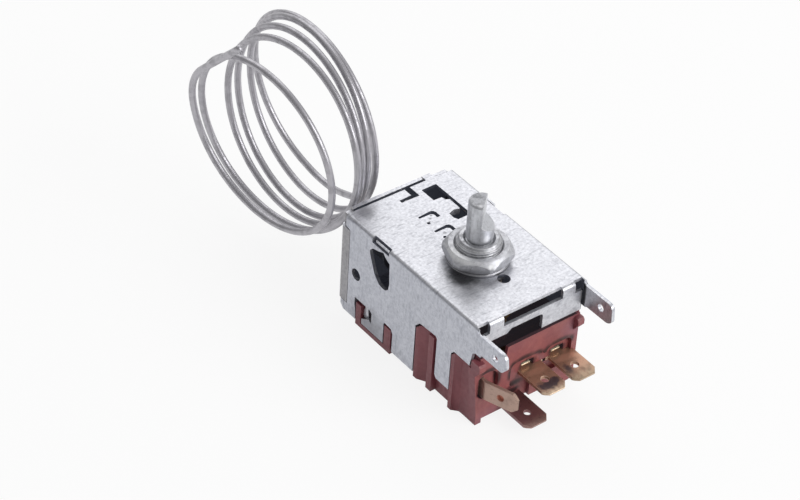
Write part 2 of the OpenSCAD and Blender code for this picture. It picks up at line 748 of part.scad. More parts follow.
module terminal_right() {
    color(brass) translate([right_x, 0, blade_z]) {
        blade(blade_w, -15.95, -26.9, -22.6);
        box(-1.6, 1.6, -16, -10.6, -blade_t, 0);
        box(-2.2, 0.2, -15.7, -14.9, -blade_t, 1.15);
        box(-2.2, 0.2, base_front + 1, -14.9, 0.75, 1.15);
        // shoulder that shows beside the slot
        box(-3.8, -2.9, -17.5, -16.1, -blade_t, 0);
    }
}

module terminal_low() {
    color(brass) translate([0, 0, low_z]) {
        translate([low_x, 0, 0]) blade(blade_w, -9.1, -27.8, -23.8, 1.6);
        box(-2.5, 3.9, -10, -1.4, -blade_t, 0);
    }
}

module terminal_side() {
    color(brass) {
        box(side_x - 0.4, side_x + 0.4, base_front - 0.6, -10.4, side_z, side_z + side_blade_h);
        translate([side_x + 0.4, base_front - 0.4, 0]) rotate([0, 0, splay])
            translate([-0.4, 0, side_z + side_blade_h / 2]) rotate([0, 90, 0]) difference() {
                translate([0, 0, blade_t / 2]) blade(side_blade_h, 0.3, -8, -20);
                translate([0, -3.8, -0.41]) cylinder(r1 = 0.85, r2 = 0.45, h = 0.5);
            }
    }
}

// switch

module pusher() {
    color(ivory) translate([toe_x, toe_y, 0]) {
        translate([0, 0, -21.2]) cylinder(r = 0.8, h = 0.7);
        translate([0, 0, -20.6]) cylinder(r = 1.2, h = 7);
        translate([0, 0, -13.9]) cylinder(r1 = 1.9, r2 = 1.5, h = 0.85);
    }
}

module contact_leaf() {
    color(copper) difference() {
        union() {
            box(toe_x - 1.9, toe_x + 1.9, -10.3, -4.5, -21.6, -21.3);
            box(toe_x - 1.4, toe_x + 1.4, -4.6, -1.6, -21.6, -21.3);
        }
        translate([toe_x, -9.1, -22]) cylinder(r = 0.82, h = 2);
        translate([toe_x, -2.9, -22]) cylinder(r = 0.62, h = 2);
    }
}

module leaf_rivet() {
    color(brass) translate([toe_x, -9.1, 0]) {
        translate([0, 0, -21.6]) cylinder(r = 0.8, h = 0.4);
        translate([0, 0, -21.3]) cylinder(r1 = 1.4, r2 = 1.1, h = 0.5);
    }
}

module moving_contact() {
    color(steel) translate([toe_x, -2.9, 0]) {
        translate([0, 0, -22.4]) cylinder(r1 = 1.1, r2 = 1.3, h = 0.8);
        translate([0, 0, -21.7]) cylinder(r = 0.6, h = 0.6);
    }
}

module fixed_contact() {
    color(steel) translate([toe_x, -2.9, low_z]) cylinder(r1 = 1.4, r2 = 1.2, h = 1.2);
}

module trim_screw() {
    color(brass) translate([0.3, -8.45, 0]) difference() {
        union() {
            translate([0, 0, -17.4]) cylinder(r = 1.45, h = 8.5);
            translate([0, 0, -9]) cylinder(r1 = 2.3, r2 = 2.1, h = 1.6);
        }
        box(-3, 3, -0.35, 0.35, -8.2, -7);
    }
}

frame();
rear_plate();
bracket();
bush();
nut();
spindle();
cam();
follower();
follower_pin();
range_spring();
main_lever();
lever_pin();
push_pad();
bellows();
element_cup();
ferrule();
capillary();
base();
terminal_side();
terminal_low();
terminal_mid();
terminal_right();
pusher();
contact_leaf();
leaf_rivet();
moving_contact();
fixed_contact();
trim_screw();
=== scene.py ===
"""Looks of the capillary thermostat: folded zinc sheet, resin base, brass blades, bush and coil."""

import math

import bmesh
import bpy
from bpy.props import FloatProperty, FloatVectorProperty, IntProperty, PointerProperty
from mathutils import Matrix, Vector


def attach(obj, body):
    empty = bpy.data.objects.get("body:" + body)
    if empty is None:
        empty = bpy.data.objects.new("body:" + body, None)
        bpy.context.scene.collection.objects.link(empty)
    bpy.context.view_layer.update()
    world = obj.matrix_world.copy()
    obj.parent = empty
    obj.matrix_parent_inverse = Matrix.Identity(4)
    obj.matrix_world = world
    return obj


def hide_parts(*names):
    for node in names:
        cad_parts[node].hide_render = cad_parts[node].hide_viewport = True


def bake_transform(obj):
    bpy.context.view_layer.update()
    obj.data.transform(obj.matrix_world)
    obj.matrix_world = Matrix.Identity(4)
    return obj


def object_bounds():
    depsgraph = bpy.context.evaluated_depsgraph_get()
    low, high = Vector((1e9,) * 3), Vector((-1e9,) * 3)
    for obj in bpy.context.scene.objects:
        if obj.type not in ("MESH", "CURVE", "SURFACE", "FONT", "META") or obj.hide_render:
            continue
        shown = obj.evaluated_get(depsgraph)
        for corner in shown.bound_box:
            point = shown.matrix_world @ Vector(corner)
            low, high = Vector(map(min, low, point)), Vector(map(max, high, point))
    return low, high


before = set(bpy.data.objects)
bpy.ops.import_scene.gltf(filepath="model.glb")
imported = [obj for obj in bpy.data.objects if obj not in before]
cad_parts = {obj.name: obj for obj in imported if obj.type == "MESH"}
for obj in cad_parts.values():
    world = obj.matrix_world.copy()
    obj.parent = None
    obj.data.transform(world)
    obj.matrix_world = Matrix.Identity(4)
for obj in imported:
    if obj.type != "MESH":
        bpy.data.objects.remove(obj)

bl_info = {
    "name": "Capillary thermostat",
    "version": (1, 0, 0),
    "blender": (4, 5, 0),
    "location": "3D View > Sidebar > Thermostat",
    "description": "Dresses a packed capillary thermostat with rounded edges, thread and finishes",
    "category": "Object",
}

CAD_LOW, CAD_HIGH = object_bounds()
MM = 0.001
# how far the floor stays below the lowest face, and how far it reaches, in metres
FLOOR_GAP, FLOOR_SIZE = 0.00004, 3.0

# the photograph's camera: direction and roll in degrees, shift in millimetres, and its
# perspective as one over the distance in millimetres
CAMERA_AZIMUTH = -39.7654
CAMERA_ELEVATION = 39.0916
CAMERA_ROLL = 3.8123
CAMERA_SHIFT = (16.4069, -1.6724)
PERSPECTIVE = 0.0019
PIXELS_PER_MM = 4.7283
IMAGE_WIDTH = 800
SENSOR_WIDTH = 36.0

# places in the part's source, in millimetres; a box is its spans along X, Y and Z
FRONT = -18.3
INNER_LEFT, INNER_RIGHT = (-13.55, -13.3), (14.1, 14.35)
INNER_FLANGE = (-17.6, -17.2)
INNER_TOP, OUTER_TOP, OUTER_LEFT = -1.9, -0.06, -14.2
PIERCED = ((-12.6, 13.4), (-15.5, 27.6), (-1.0, -0.06))
FOLD_WINDOW = ((-20.0, -13.0), (12.2, 17.4), (-1.7, 1.0))
TAB_TIPS, CORNER_EDGE = -26.0, 0.7
COVER_INSIDE = (-13.4, 14.2)
BRACKET_INSIDE = (-13.1, 13.9)
TONGUE = (3.5, 15.2)
LUG_X, LUG_Z, LUG_TOP = -13.6, -1.0, -0.2
LUG_MIDDLE = (-13.86, 14.8, 0.0)
LUG_SHRINK = (0.55, 0.94, 1.0)
LUG_DROP = 0.3
RECESS_DEPTH, BASE_BACK, BASE_DEEP = -16.5, -17.6, -17.3
RECESS_RIMS = ((-12.7, 13.0), (FRONT - 0.01, FRONT + 0.01), (-26.0, -13.0))
BASE_INSIDE = (-12.45, 13.2)
BASE_FLOOR = -24.7
SPINDLE_END = 15.45
SLOPE = (8.6, 10.4)
SPRING_MIDDLE = 10.15

# least cosines of faces that look more or less along an axis
FACING_A_LITTLE, FACING, FACING_WELL, FACING_FULLY = 0.25, 0.5, 0.6, 0.8

# centre and lean of the sensing tube's loops at every turn, as in the part's source
LOOP_X = (-25.4, -20.6, -11.4, -9.3, -5.4, -1.6, 4.5)
LOOP_Y = (44.8, 49.4, 51.8, 53.2, 54.3, 57.0, 57.5)
LOOP_Z = (15.2, 6.8, 5.4, 5.7, 6.0, 4.5, 2.5)
LOOP_YAW = (7.9, 8.3, 7.6, 2.6, -0.1, 1.2, 4.7)
LOOP_LEAN = (4.8, 5.0, -0.6, -3.3, -0.4, 4.4, 10.7)
LOOP_RADIUS = 22.6
LOOP_GROWTH = 2.0
GROWTH_TURNS = 5.4
LOOP_FIRST = 0.27
LOOP_LAST = 5.44
END_BEND = 52.0
END_RADIUS = 15.0
SEALED_LENGTH = 18.9
TAIL_PULL = 14
TUBE_PORT = (0.0, 31.4, -9.6)
TUBE_ROOT = (0.0, 29.0, -9.6)
BEND_STEPS, SEALED_STEPS, TAIL_STEPS = 12, 48, 24
TUBE_SIDES = 20
# the flattened end: its turn round the tube in radians, the share of its length in which it eases
# into the round, and the shares by which it is wider and thinner
CRIMP_TURN, CRIMP_EASE, CRIMP_WIDER, CRIMP_THINNER = 0.6, 0.35, 0.28, 0.35
# the small bulb at its tip: length, the length over which it eases, and the tip's share
BULB_LENGTH, BULB_EASE, BULB_TIP = 0.6, 0.8, 0.55

# painted shadows under the rims of the terminal recesses: X, Z, half width and half height
RIMS = (
    (-4.2, -17.2, 1.2, 2.8),
    (-3.6, -15.1, 1.4, 1.4),
    (-0.6, -14.5, 4.2, 1.35),
    (3.1, -14.95, 2.2, 1.35),
    (4.9, -15.65, 1.8, 1.25),
    (5.9, -15.15, 1.4, 1.3),
    (9.3, -14.5, 4.6, 1.35),
    (12.4, -15.3, 1.15, 1.5),
    (-10.5, -13.4, 3.6, 1.3),
    (-7.6, -16.4, 1.15, 3.3),
    (-2.1, -21.4, 4.0, 1.35),
)

# outward direction of the spindle's flat at rest
FLAT_TURN = math.radians(-48)
FLAT_NORMAL = Vector((math.cos(FLAT_TURN), math.sin(FLAT_TURN), 0))
# its lowest face and its reach from the axis, and the least cosines of its and its slope's faces
FLAT_LOW, FLAT_REACH = 8.0, 2.0
FLAT_FACING, SLOPE_FACING = 0.97, 0.2

# painted light: a faint glow given to the faces inside the housing, which no lamp reaches
PAINTED_GLOW_TONE = (0.6, 0.66, 0.86, 1.0)
RESIN_PAINTED_GLOW_TONE = (0.7, 0.66, 0.8, 1.0)
PAINTED_GLOW_STRENGTH, RESIN_PAINTED_GLOW_STRENGTH = 0.028, 0.014
# share of white that the camera sees in the floor
FLOOR_WHITE = 0.86


def colour(name, description, value):
    """A linear colour property."""
    return FloatVectorProperty(
        name=name, description=description, default=value, min=0, max=1, size=3, subtype="COLOR"
    )


def length(name, description, millimetres, lowest, highest):
    """A length property, held in metres."""
    return FloatProperty(
        name=name, description=description, default=millimetres * MM, min=lowest * MM,
        max=highest * MM, unit="LENGTH", subtype="DISTANCE", precision=5
    )


class ThermostatSizes(bpy.types.PropertyGroup):
    """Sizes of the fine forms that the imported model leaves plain."""

    sheet_edge: length("Sheet edge", "Rounding of the sheared sheet's edges", 0.07, 0.01, 0.3)
    cover_edge: length("Cover edge", "Rounding of the rear plate's edges", 0.2, 0.01, 0.4)
    tab_corner: length("Tab corner", "Rounding of the earth tabs' corners", 0.6, 0.1, 1)
    recess_edge: length("Recess edge", "Rounding of the terminal recesses' rims", 0.34, 0.05, 0.6)
    resin_edge: length("Resin edge", "Rounding of the moulded base's edges", 0.16, 0.02, 0.5)
    blade_edge: length("Blade edge", "Rounding of the stamped blades' edges", 0.09, 0.01, 0.3)
    turned_edge: length("Turned edge", "Rounding of the spindle's edges", 0.1, 0.01, 0.4)
    nut_edge: length("Nut edge", "Rounding of the nut's edges", 0.16, 0.02, 0.6)
    thread_pitch: length("Thread pitch", "Pitch of the bush thread", 0.72, 0.3, 1.5)
    thread_depth: length("Thread depth", "Depth of the bush thread", 0.42, 0.1, 0.8)
    tube_radius: length("Tube radius", "Outer radius of the sensing tube", 0.8, 0.4, 1.5)
    crimp_length: length("Crimp length", "Flattened length at the tube's sealed end", 3.6, 1, 8)
    tube_steps: IntProperty(
        name="Tube steps", description="Rings of the tube in one loop", default=108, min=24, max=160
    )


class ThermostatFinishes(bpy.types.PropertyGroup):
    """Colours of the finishes."""

    zinc: colour("Zinc sheet", "Plated sheet of the housing", (0.68, 0.685, 0.725))
    zinc_stroke: colour("Zinc strokes", "Rolling marks of the sheet", (0.38, 0.385, 0.42))
    # painted shade: a dark tone laid as shadows and dark reflections on the sheet, the bush and the
    # nut
    painted_shade: colour("Dirt", "Dirt and rubbed plating", (0.2, 0.2, 0.22))
    # painted shade: a dark tone for the sheet's inner faces, standing in for the shade inside the
    # housing
    inside: colour("Sheet inside", "Dull inner faces of the sheet", (0.13, 0.135, 0.165))
    plated: colour("Plated steel", "Bush", (0.51, 0.515, 0.545))
    nut: colour("Nut", "Worn plating of the nut", (0.575, 0.58, 0.615))
    tube: colour("Tube", "Tinned sensing tube", (0.46, 0.45, 0.48))
    # painted shade: the sides get a darker, more purple copy of the front's resin colour, for the
    # less light they get
    resin: colour("Resin", "Sides of the moulded base", (0.27, 0.07, 0.085))
    resin_face: colour("Resin face", "Front of the moulded base", (0.31, 0.085, 0.08))
    resin_deep: colour("Resin shade", "Darker parts of the resin's mottle", (0.17, 0.045, 0.058))
    resin_dark: colour("Resin inside", "Unlit inner faces of the base", (0.08, 0.03, 0.035))
    brass: colour("Brass", "Clean brass at the blades' tips", (0.70, 0.55, 0.40))
    brass_dull: colour("Dull brass", "Tarnished brass", (0.46, 0.26, 0.175))
    smudge: colour("Smudge", "Dark stains on the blades", (0.03, 0.034, 0.055))
    # painted shade: a dark tone for the plates of the works, which sit in the shade inside the
    # housing
    inner: colour("Inner steel", "Plates and pins of the works", (0.16, 0.165, 0.2))
    pale: colour("Pale plastic", "Cam and pusher", (0.7, 0.66, 0.55))


class StudioSettings(bpy.types.PropertyGroup):
    """Floor and lamps."""

    floor: colour("Floor", "Pale floor", (0.9, 0.9, 0.9))
    front_power: FloatProperty(
        name="Front lamp", description="Soft lamp before the terminals", default=8.5, min=0,
        unit="POWER"
    )
    back_power: FloatProperty(
        name="Back lamp", description="Broad lamp behind the tube", default=6.4, min=0, unit="POWER"
    )


def sizes():
    """The scene's size settings."""
    return bpy.context.scene.thermostat_sizes


def finishes():
    """The scene's finish settings."""
    return bpy.context.scene.thermostat_finishes


# node trees


def fill(tree, node, inputs):
    """Links a node's inputs to sockets, or sets them to values."""
    for key, value in inputs.items():
        if isinstance(value, bpy.types.NodeSocket):
            tree.links.new(value, node.inputs[key])
        else:
            node.inputs[key].default_value = value


def add(tree, kind, inputs=None, **settings):
    """A node with its settings made and its inputs filled."""
    made = tree.nodes.new(kind)
    for key, value in settings.items():
        setattr(made, key, value)
    fill(tree, made, inputs or {})
    return made


def sum_of(tree, first, second):
    """The output of a sum."""
    return add(tree, "ShaderNodeMath", {0: first, 1: second}, operation="ADD").outputs[0]


def product(tree, first, second):
    """The output of a product."""
    return add(tree, "ShaderNodeMath", {0: first, 1: second}, operation="MULTIPLY").outputs[0]


def ramp(tree, value, start, end, low=0.0, high=1.0, **settings):
    """The output of a map from one span to another, held at its ends."""
    return add(tree, "ShaderNodeMapRange", {
        "Value": value, "From Min": start, "From Max": end, "To Min": low, "To Max": high},
        **settings).outputs[0]


def place_of(tree):
    """The place on the piece, in metres."""
    return add(tree, "ShaderNodeTexCoord").outputs["Object"]


def noise_of(tree, place, scale, detail, roughness=0.5, **inputs):
    """The output of a noise."""
    return add(tree, "ShaderNodeTexNoise", {
        "Vector": place, "Scale": scale, "Detail": detail, "Roughness": roughness,
        **inputs}).outputs["Fac"]


def new_group(name, inputs, outputs):
    """An empty shader group with its sockets, its input node and its output node."""
    group = bpy.data.node_groups.new(name, "ShaderNodeTree")
    for label, kind, default in inputs:
        socket = group.interface.new_socket(label, in_out="INPUT", socket_type=kind)
        socket.default_value = default
    for label, kind in outputs:
        group.interface.new_socket(label, in_out="OUTPUT", socket_type=kind)
    return group, group.nodes.new("NodeGroupInput"), group.nodes.new("NodeGroupOutput")


def grain_group(name):
    """Drawn-out strokes in patches, a mottle, and a height for relief."""
    group, given, made = new_group(
        name,
        [
            ("Stretch", "NodeSocketVector", (420.0, 2600.0, 420.0)),
            ("Patch", "NodeSocketFloat", 260.0),
        ],
        [
            ("Strokes", "NodeSocketFloat"),
            ("Mottle", "NodeSocketFloat"),
            ("Height", "NodeSocketFloat"),
        ],
    )
    place = place_of(group)
    stretched = add(group, "ShaderNodeVectorMath", {
        0: place, 1: given.outputs["Stretch"]}, operation="MULTIPLY").outputs[0]
    strokes = noise_of(group, stretched, 1.0, 3.0, 0.62)
    mottle = noise_of(group, place, given.outputs["Patch"], 4.0, 0.6)
    marks = product(group, ramp(group, strokes, 0.53, 0.66), ramp(group, mottle, 0.42, 0.54))
    fill(group, made, {
        "Strokes": marks, "Mottle": ramp(group, mottle, 0.35, 0.65), "Height": strokes})
    return group


def edge_group(name):
    """Mask of the rounded edges for a painted highlight, broken up by a noise."""
    group, given, made = new_group(
        name,
        [("Break up", "NodeSocketFloat", 900.0), ("Amount", "NodeSocketFloat", 1.0)],
        [("Mask", "NodeSocketFloat")],
    )
    edge = add(group, "ShaderNodeAttribute", attribute_name="edge").outputs["Fac"]
    noise = noise_of(group, place_of(group), given.outputs["Break up"], 2.0)
    part = product(group, edge, ramp(group, noise, 0.3, 0.6, low=0.35))
    fill(group, made, {"Mask": product(group, part, given.outputs["Amount"])})
    return group


def stain_group(name):
    """Cloudy stains with a soft rim, and fine specks."""
    group, given, made = new_group(
        name,
        [
            ("Size", "NodeSocketFloat", 300.0),
            ("Cover", "NodeSocketFloat", 0.5),
            ("Speck size", "NodeSocketFloat", 3000.0),
        ],
        [("Cloud", "NodeSocketFloat"), ("Specks", "NodeSocketFloat")],
    )
    place = place_of(group)
    cloud = noise_of(group, place, given.outputs["Size"], 5.0, 0.6, Distortion=0.4)
    cover = given.outputs["Cover"]
    fine = noise_of(group, place, given.outputs["Speck size"], 1.0)
    fill(group, made, {
        "Cloud": ramp(group, cloud, cover, sum_of(group, cover, 0.16)),
        "Specks": ramp(group, fine, 0.68, 0.76)})
    return group


def spot_group(name):
    """Mask of one spot for stains, painted shade and painted highlights, with a soft and ragged
    rim.
    """
    group, given, made = new_group(
        name,
        [
            ("Centre", "NodeSocketVector", (0.0, 0.0, 0.0)),
            ("Reach", "NodeSocketVector", (0.001, 0.001, 0.001)),
            ("Rim", "NodeSocketFloat", 0.6),
            ("Ragged", "NodeSocketFloat", 0.35),
            ("Break up", "NodeSocketFloat", 420.0),
        ],
        [("Mask", "NodeSocketFloat")],
    )
    place = place_of(group)
    away = add(group, "ShaderNodeVectorMath", {
        0: place, 1: given.outputs["Centre"]}, operation="SUBTRACT").outputs[0]
    share = add(group, "ShaderNodeVectorMath", {
        0: away, 1: given.outputs["Reach"]}, operation="DIVIDE").outputs[0]
    far = add(group, "ShaderNodeVectorMath", {0: share}, operation="LENGTH").outputs["Value"]
    noise = noise_of(group, place, given.outputs["Break up"], 4.0, 0.65)
    wander = product(group, sum_of(group, noise, -0.5), given.outputs["Ragged"])
    edge = sum_of(group, far, product(group, wander, 4.0))
    inner = add(group, "ShaderNodeMath", {
        0: 1.0, 1: given.outputs["Rim"]}, operation="SUBTRACT").outputs[0]
    mask = ramp(group, edge, 1.0, inner, interpolation_type="SMOOTHSTEP")
    fill(group, made, {"Mask": mask})
    return group


NODE_GROUPS = {
    "Rolled grain": grain_group,
    "Worn edges": edge_group,
    "Stains": stain_group,
    "Spot": spot_group,
}

# stretch of the strokes, per metre, along X, Y and Z
ROLLED = (330.0, 1700.0, 330.0)
ROLLED_FINE = (950.0, 3300.0, 950.0)
DRAWN = (1800.0, 1800.0, 130.0)
STAMPED = (1700.0, 1100.0, 1700.0)
EVEN = (1500.0, 1500.0, 1500.0)


def new_material(name):
    """A material with its tree and its Principled shader."""
    material = bpy.data.materials.new(name)
    material.use_nodes = True
    tree = material.node_tree
    return material, tree, tree.nodes["Principled BSDF"]


def opaque(tone):
    """A colour with its alpha; a socket stays as it is."""
    return tone if isinstance(tone, bpy.types.NodeSocket) else (*tone, 1.0)


def mix(tree, factor, first, second):
    """The output of a colour mix."""
    return add(
        tree, "ShaderNodeMix", {0: factor, 6: opaque(first), 7: opaque(second)},
        data_type="RGBA").outputs[2]


def scaled(tree, value, low, high):
    """A mask turned into a number from low to high."""
    return ramp(tree, value, 0.0, 1.0, low, high)


def darker(tone, share):
    """A share of a colour."""
    return tuple(channel * share for channel in tone)


def paler(tone, share, lift):
    """A colour made lighter."""
    return tuple(min(1.0, channel * share + lift) for channel in tone)


def use(tree, name, **inputs):
    """A group placed in a material with its values; it is built where it is first used."""
    made = tree.nodes.new("ShaderNodeGroup")
    made.node_tree = bpy.data.node_groups.get(name) or NODE_GROUPS[name](name)
    fill(tree, made, inputs)
    return made


def spotted(tree, base, spots):
    """A colour with its spots of stain and of painted light and shade, each with a centre, a reach,
    a tone, a share, the width of its rim and its raggedness; centre and reach are in millimetres."""
    for centre, reach, tone, share, rim, ragged in spots:
        spot = use(
            tree, "Spot", Centre=[c * MM for c in centre], Reach=[r * MM for r in reach],
            Rim=rim, Ragged=ragged)
        base = mix(tree, scaled(tree, spot.outputs["Mask"], 0.0, share), base, tone)
    return base


def bump(tree, shader, height, distance, strength):
    """Relief under a shader."""
    made = add(tree, "ShaderNodeBump", {
        "Height": height, "Distance": distance, "Strength": strength})
    fill(tree, shader, {"Normal": made.outputs[0]})


def zinc_sheet(name, base, stroke, spots=(), painted_glow=0.0):
    """Plated sheet: rolling strokes, specks, a faint mottle, spots of painted light and shade, and
    a painted highlight on the sheared edges.
    """
    material, tree, shader = new_material(name)
    grain = use(tree, "Rolled grain", Stretch=ROLLED, Patch=330.0)
    fine = use(tree, "Rolled grain", Stretch=ROLLED_FINE, Patch=1500.0)
    edge = use(tree, "Worn edges", Amount=0.8)
    cloud = use(tree, "Stains", Size=90.0, Cover=0.5)
    shaded = mix(tree, scaled(tree, grain.outputs["Mottle"], 0.0, 0.14), base, stroke)
    grainy = mix(tree, scaled(tree, fine.outputs["Mottle"], 0.0, 0.42), shaded, stroke)
    struck = mix(tree, scaled(tree, grain.outputs["Strokes"], 0.0, 0.85), grainy, stroke)
    struck = mix(tree, scaled(tree, fine.outputs["Strokes"], 0.0, 0.6), struck, stroke)
    specked = mix(tree, scaled(tree, cloud.outputs["Specks"], 0.0, 0.5), struck, stroke)
    stains_and_painted_light = spotted(tree, specked, spots)
    bright = mix(tree, edge.outputs["Mask"], stains_and_painted_light, (0.95, 0.95, 0.97))
    # the emission here is a faint painted glow for faces that no lamp reaches
    fill(tree, shader, {
        "Base Color": bright, "Roughness": scaled(tree, fine.outputs["Mottle"], 0.28, 0.45),
        "Metallic": 0.75, "Emission Color": PAINTED_GLOW_TONE, "Emission Strength": painted_glow})
    bump(tree, shader, grain.outputs["Height"], 0.00003, 0.6)
    return material


def turned_metal(
        name, base, metallic=0.9, roughness=0.3, spots=(), edge_highlight=0.6, stretch=EVEN, cloud=0.45,
        stain_size=420.0, marks=0.6, relief=0.5):
    """Turned and plated steel: streaks along the axis, small marks, spots of painted light and
    shade, and a painted highlight on the edges.
    """
    material, tree, shader = new_material(name)
    grain = use(tree, "Rolled grain", Stretch=stretch, Patch=500.0)
    edge = use(tree, "Worn edges", Amount=edge_highlight)
    stain = use(tree, "Stains", Size=stain_size, Cover=0.46)
    dark = darker(base, 0.55)
    shaded = mix(tree, scaled(tree, stain.outputs["Cloud"], 0.0, cloud), base, dark)
    struck = mix(tree, scaled(tree, grain.outputs["Strokes"], 0.0, marks), shaded, dark)
    stains_and_painted_light = spotted(tree, struck, spots)
    bright = mix(tree, edge.outputs["Mask"], stains_and_painted_light, (0.9, 0.9, 0.9))
    dulled = scaled(tree, stain.outputs["Cloud"], roughness, roughness + 0.16)
    fill(tree, shader, {"Base Color": bright, "Roughness": dulled, "Metallic": metallic})
    bump(tree, shader, grain.outputs["Height"], 0.000015, relief)
    return material


def moulded_resin(name, base, deep, spots=(), painted_glow=0.0):
    """Moulded resin: clouded pigment, a fine pebble, spots of painted shade and a slight painted
    highlight on the edges.
    """
    material, tree, shader = new_material(name)
    cloud = use(tree, "Stains", Size=160.0, Cover=0.42)
    fine = use(tree, "Rolled grain", Stretch=EVEN, Patch=900.0)
    edge = use(tree, "Worn edges", Amount=0.3)
    shaded = mix(tree, scaled(tree, cloud.outputs["Cloud"], 0.0, 0.35), base, deep)
    speckled = mix(tree, scaled(tree, fine.outputs["Mottle"], 0.0, 0.3), shaded, deep)
    stains_and_painted_light = spotted(tree, speckled, spots)
    pale = mix(tree, edge.outputs["Mask"], stains_and_painted_light, paler(base, 1.5, 0.03))
    waves = noise_of(tree, place_of(tree), 330.0, 1.5)
    wavy = add(tree, "ShaderNodeBump", {"Height": waves, "Distance": 0.0002, "Strength": 0.6})
    pebble = add(tree, "ShaderNodeBump", {
        "Height": fine.outputs["Height"], "Distance": 0.00004, "Strength": 0.5,
        "Normal": wavy.outputs[0]})
    # the emission here is a faint painted glow for faces that no lamp reaches
    fill(tree, shader, {
        "Base Color": pale, "Roughness": scaled(tree, fine.outputs["Mottle"], 0.42, 0.56),
        "Normal": pebble.outputs[0], "Emission Color": RESIN_PAINTED_GLOW_TONE, "Emission Strength": painted_glow})
    return material


def stamped_brass(name, clean, dull, smudge, tip, reach, smudge_share, spots):
    """Brass that is clean at the tip, tarnished towards the base, with stains and painted
    highlights in spots and a painted highlight on its edges.
    """
    material, tree, shader = new_material(name)
    along = add(tree, "ShaderNodeSeparateXYZ", {0: place_of(tree)}).outputs["Y"]
    stain = use(tree, "Stains", Size=420.0, Cover=0.5)
    fine = use(tree, "Rolled grain", Stretch=STAMPED, Patch=1300.0)
    edge = use(tree, "Worn edges", Amount=0.6)
    near_tip = ramp(tree, along, tip + reach, tip, interpolation_type="SMOOTHSTEP")
    shaded = mix(tree, near_tip, dull, clean)
    clouded = mix(tree, scaled(tree, stain.outputs["Cloud"], 0.0, smudge_share), shaded, smudge)
    speckled = mix(tree, scaled(tree, fine.outputs["Mottle"], 0.0, 0.35), clouded, dull)
    struck = scaled(tree, fine.outputs["Strokes"], 0.0, 0.55)
    grainy = mix(tree, struck, speckled, darker(dull, 0.55))
    stains_and_painted_light = spotted(tree, grainy, spots)
    bright = mix(tree, edge.outputs["Mask"], stains_and_painted_light, paler(clean, 1.25, 0.08))
    fill(tree, shader, {
        "Base Color": bright, "Roughness": scaled(tree, stain.outputs["Cloud"], 0.34, 0.55),
        "Metallic": 0.6})
    bump(tree, shader, fine.outputs["Height"], 0.00002, 0.4)
    return material


def plain_plastic(name, base):
    """Moulded plastic of the works."""
    material, tree, shader = new_material(name)
    fine = use(tree, "Rolled grain", Stretch=EVEN, Patch=600.0)
    shaded = mix(tree, scaled(tree, fine.outputs["Mottle"], 0.0, 0.2), base, darker(base, 0.7))
    fill(tree, shader, {
        "Base Color": shaded, "Roughness": scaled(tree, fine.outputs["Mottle"], 0.4, 0.5)})
    return material


# meshes


def copy_of(node):
    """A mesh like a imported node's, with its flat faces whole."""
    bm = bmesh.new()
    bm.from_mesh(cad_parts[node].data)
    bmesh.ops.remove_doubles(bm, verts=bm.verts, dist=1e-6)
    bmesh.ops.dissolve_limit(bm, angle_limit=math.radians(0.4), verts=bm.verts, edges=bm.edges)
    return bm


def rounded(bm, edges, width, segments):
    """Rounds the given edges and returns what the bevel made."""
    return bmesh.ops.bevel(
        bm, geom=edges, offset=width, offset_type="OFFSET", segments=segments, profile=0.5,
        affect="EDGES", clamp_overlap=True, material=-1)


def cut(bm, y, facing=1, **settings):
    """Cuts a shape along a plane across Y."""
    bmesh.ops.bisect_plane(
        bm, geom=bm.verts[:] + bm.edges[:] + bm.faces[:], dist=1e-7, plane_co=(0, y * MM, 0),
        plane_no=(0, facing, 0), **settings)


def round_edges(bm, width, angle=32.0, segments=2):
    """Rounds the sharp edges and marks the new faces for the finishes."""
    mark = bm.faces.layers.float.get("edge") or bm.faces.layers.float.new("edge")
    sharp = [
        e for e in bm.edges
        if len(e.link_faces) == 2 and e.calc_face_angle(0.0) > math.radians(angle)
    ]
    for face in rounded(bm, sharp, width, segments)["faces"]:
        face[mark] = 1.0


def piece_of(name, bm, material, replaced, sharp):
    """Makes a shaded piece of a mesh and finish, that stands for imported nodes."""
    mesh = bpy.data.meshes.new(name)
    bm.to_mesh(mesh)
    bm.free()
    mesh.polygons.foreach_set("use_smooth", [True] * len(mesh.polygons))
    mesh.set_sharp_from_angle(angle=math.radians(sharp))
    mesh.materials.append(material)
    piece = bpy.data.objects.new(name, mesh)
    bpy.context.scene.collection.objects.link(piece)
    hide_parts(*replaced)
    return piece


def show(name, bm, body, material, replaced, sharp=38.0):
    """Makes a rigid piece that rides on a body."""
    piece = piece_of(name, bm, material, replaced, sharp)
    even = piece.modifiers.new("Even shading", "WEIGHTED_NORMAL")
    even.keep_sharp = True
    even.weight = 100
    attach(piece, body)
    return piece


def second_finish(piece, material, chosen):
    """Gives the faces that the test picks a finish of their own."""
    piece.data.materials.append(material)
    last = len(piece.data.materials) - 1
    for face in piece.data.polygons:
        if chosen(face.center / MM, face.normal):
            face.material_index = last


def dress(node, material):
    """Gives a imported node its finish."""
    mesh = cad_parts[node].data
    mesh.materials.clear()
    mesh.materials.append(material)


def spun(profile, steps):
    """A closed shape turned round Z from a list of radius and height in millimetres."""
    bm = bmesh.new()
    ring = [bm.verts.new((r * MM, 0.0, z * MM)) for r, z in profile]
    edges = [bm.edges.new((ring[i], ring[(i + 1) % len(ring)])) for i in range(len(ring))]
    bmesh.ops.spin(
        bm, geom=ring + edges, cent=(0, 0, 0), axis=(0, 0, 1), dvec=(0, 0, 0),
        angle=2 * math.pi, steps=steps, use_merge=True, use_duplicate=False)
    bmesh.ops.remove_doubles(bm, verts=bm.verts, dist=1e-7)
    bmesh.ops.recalc_face_normals(bm, faces=bm.faces)
    return bm


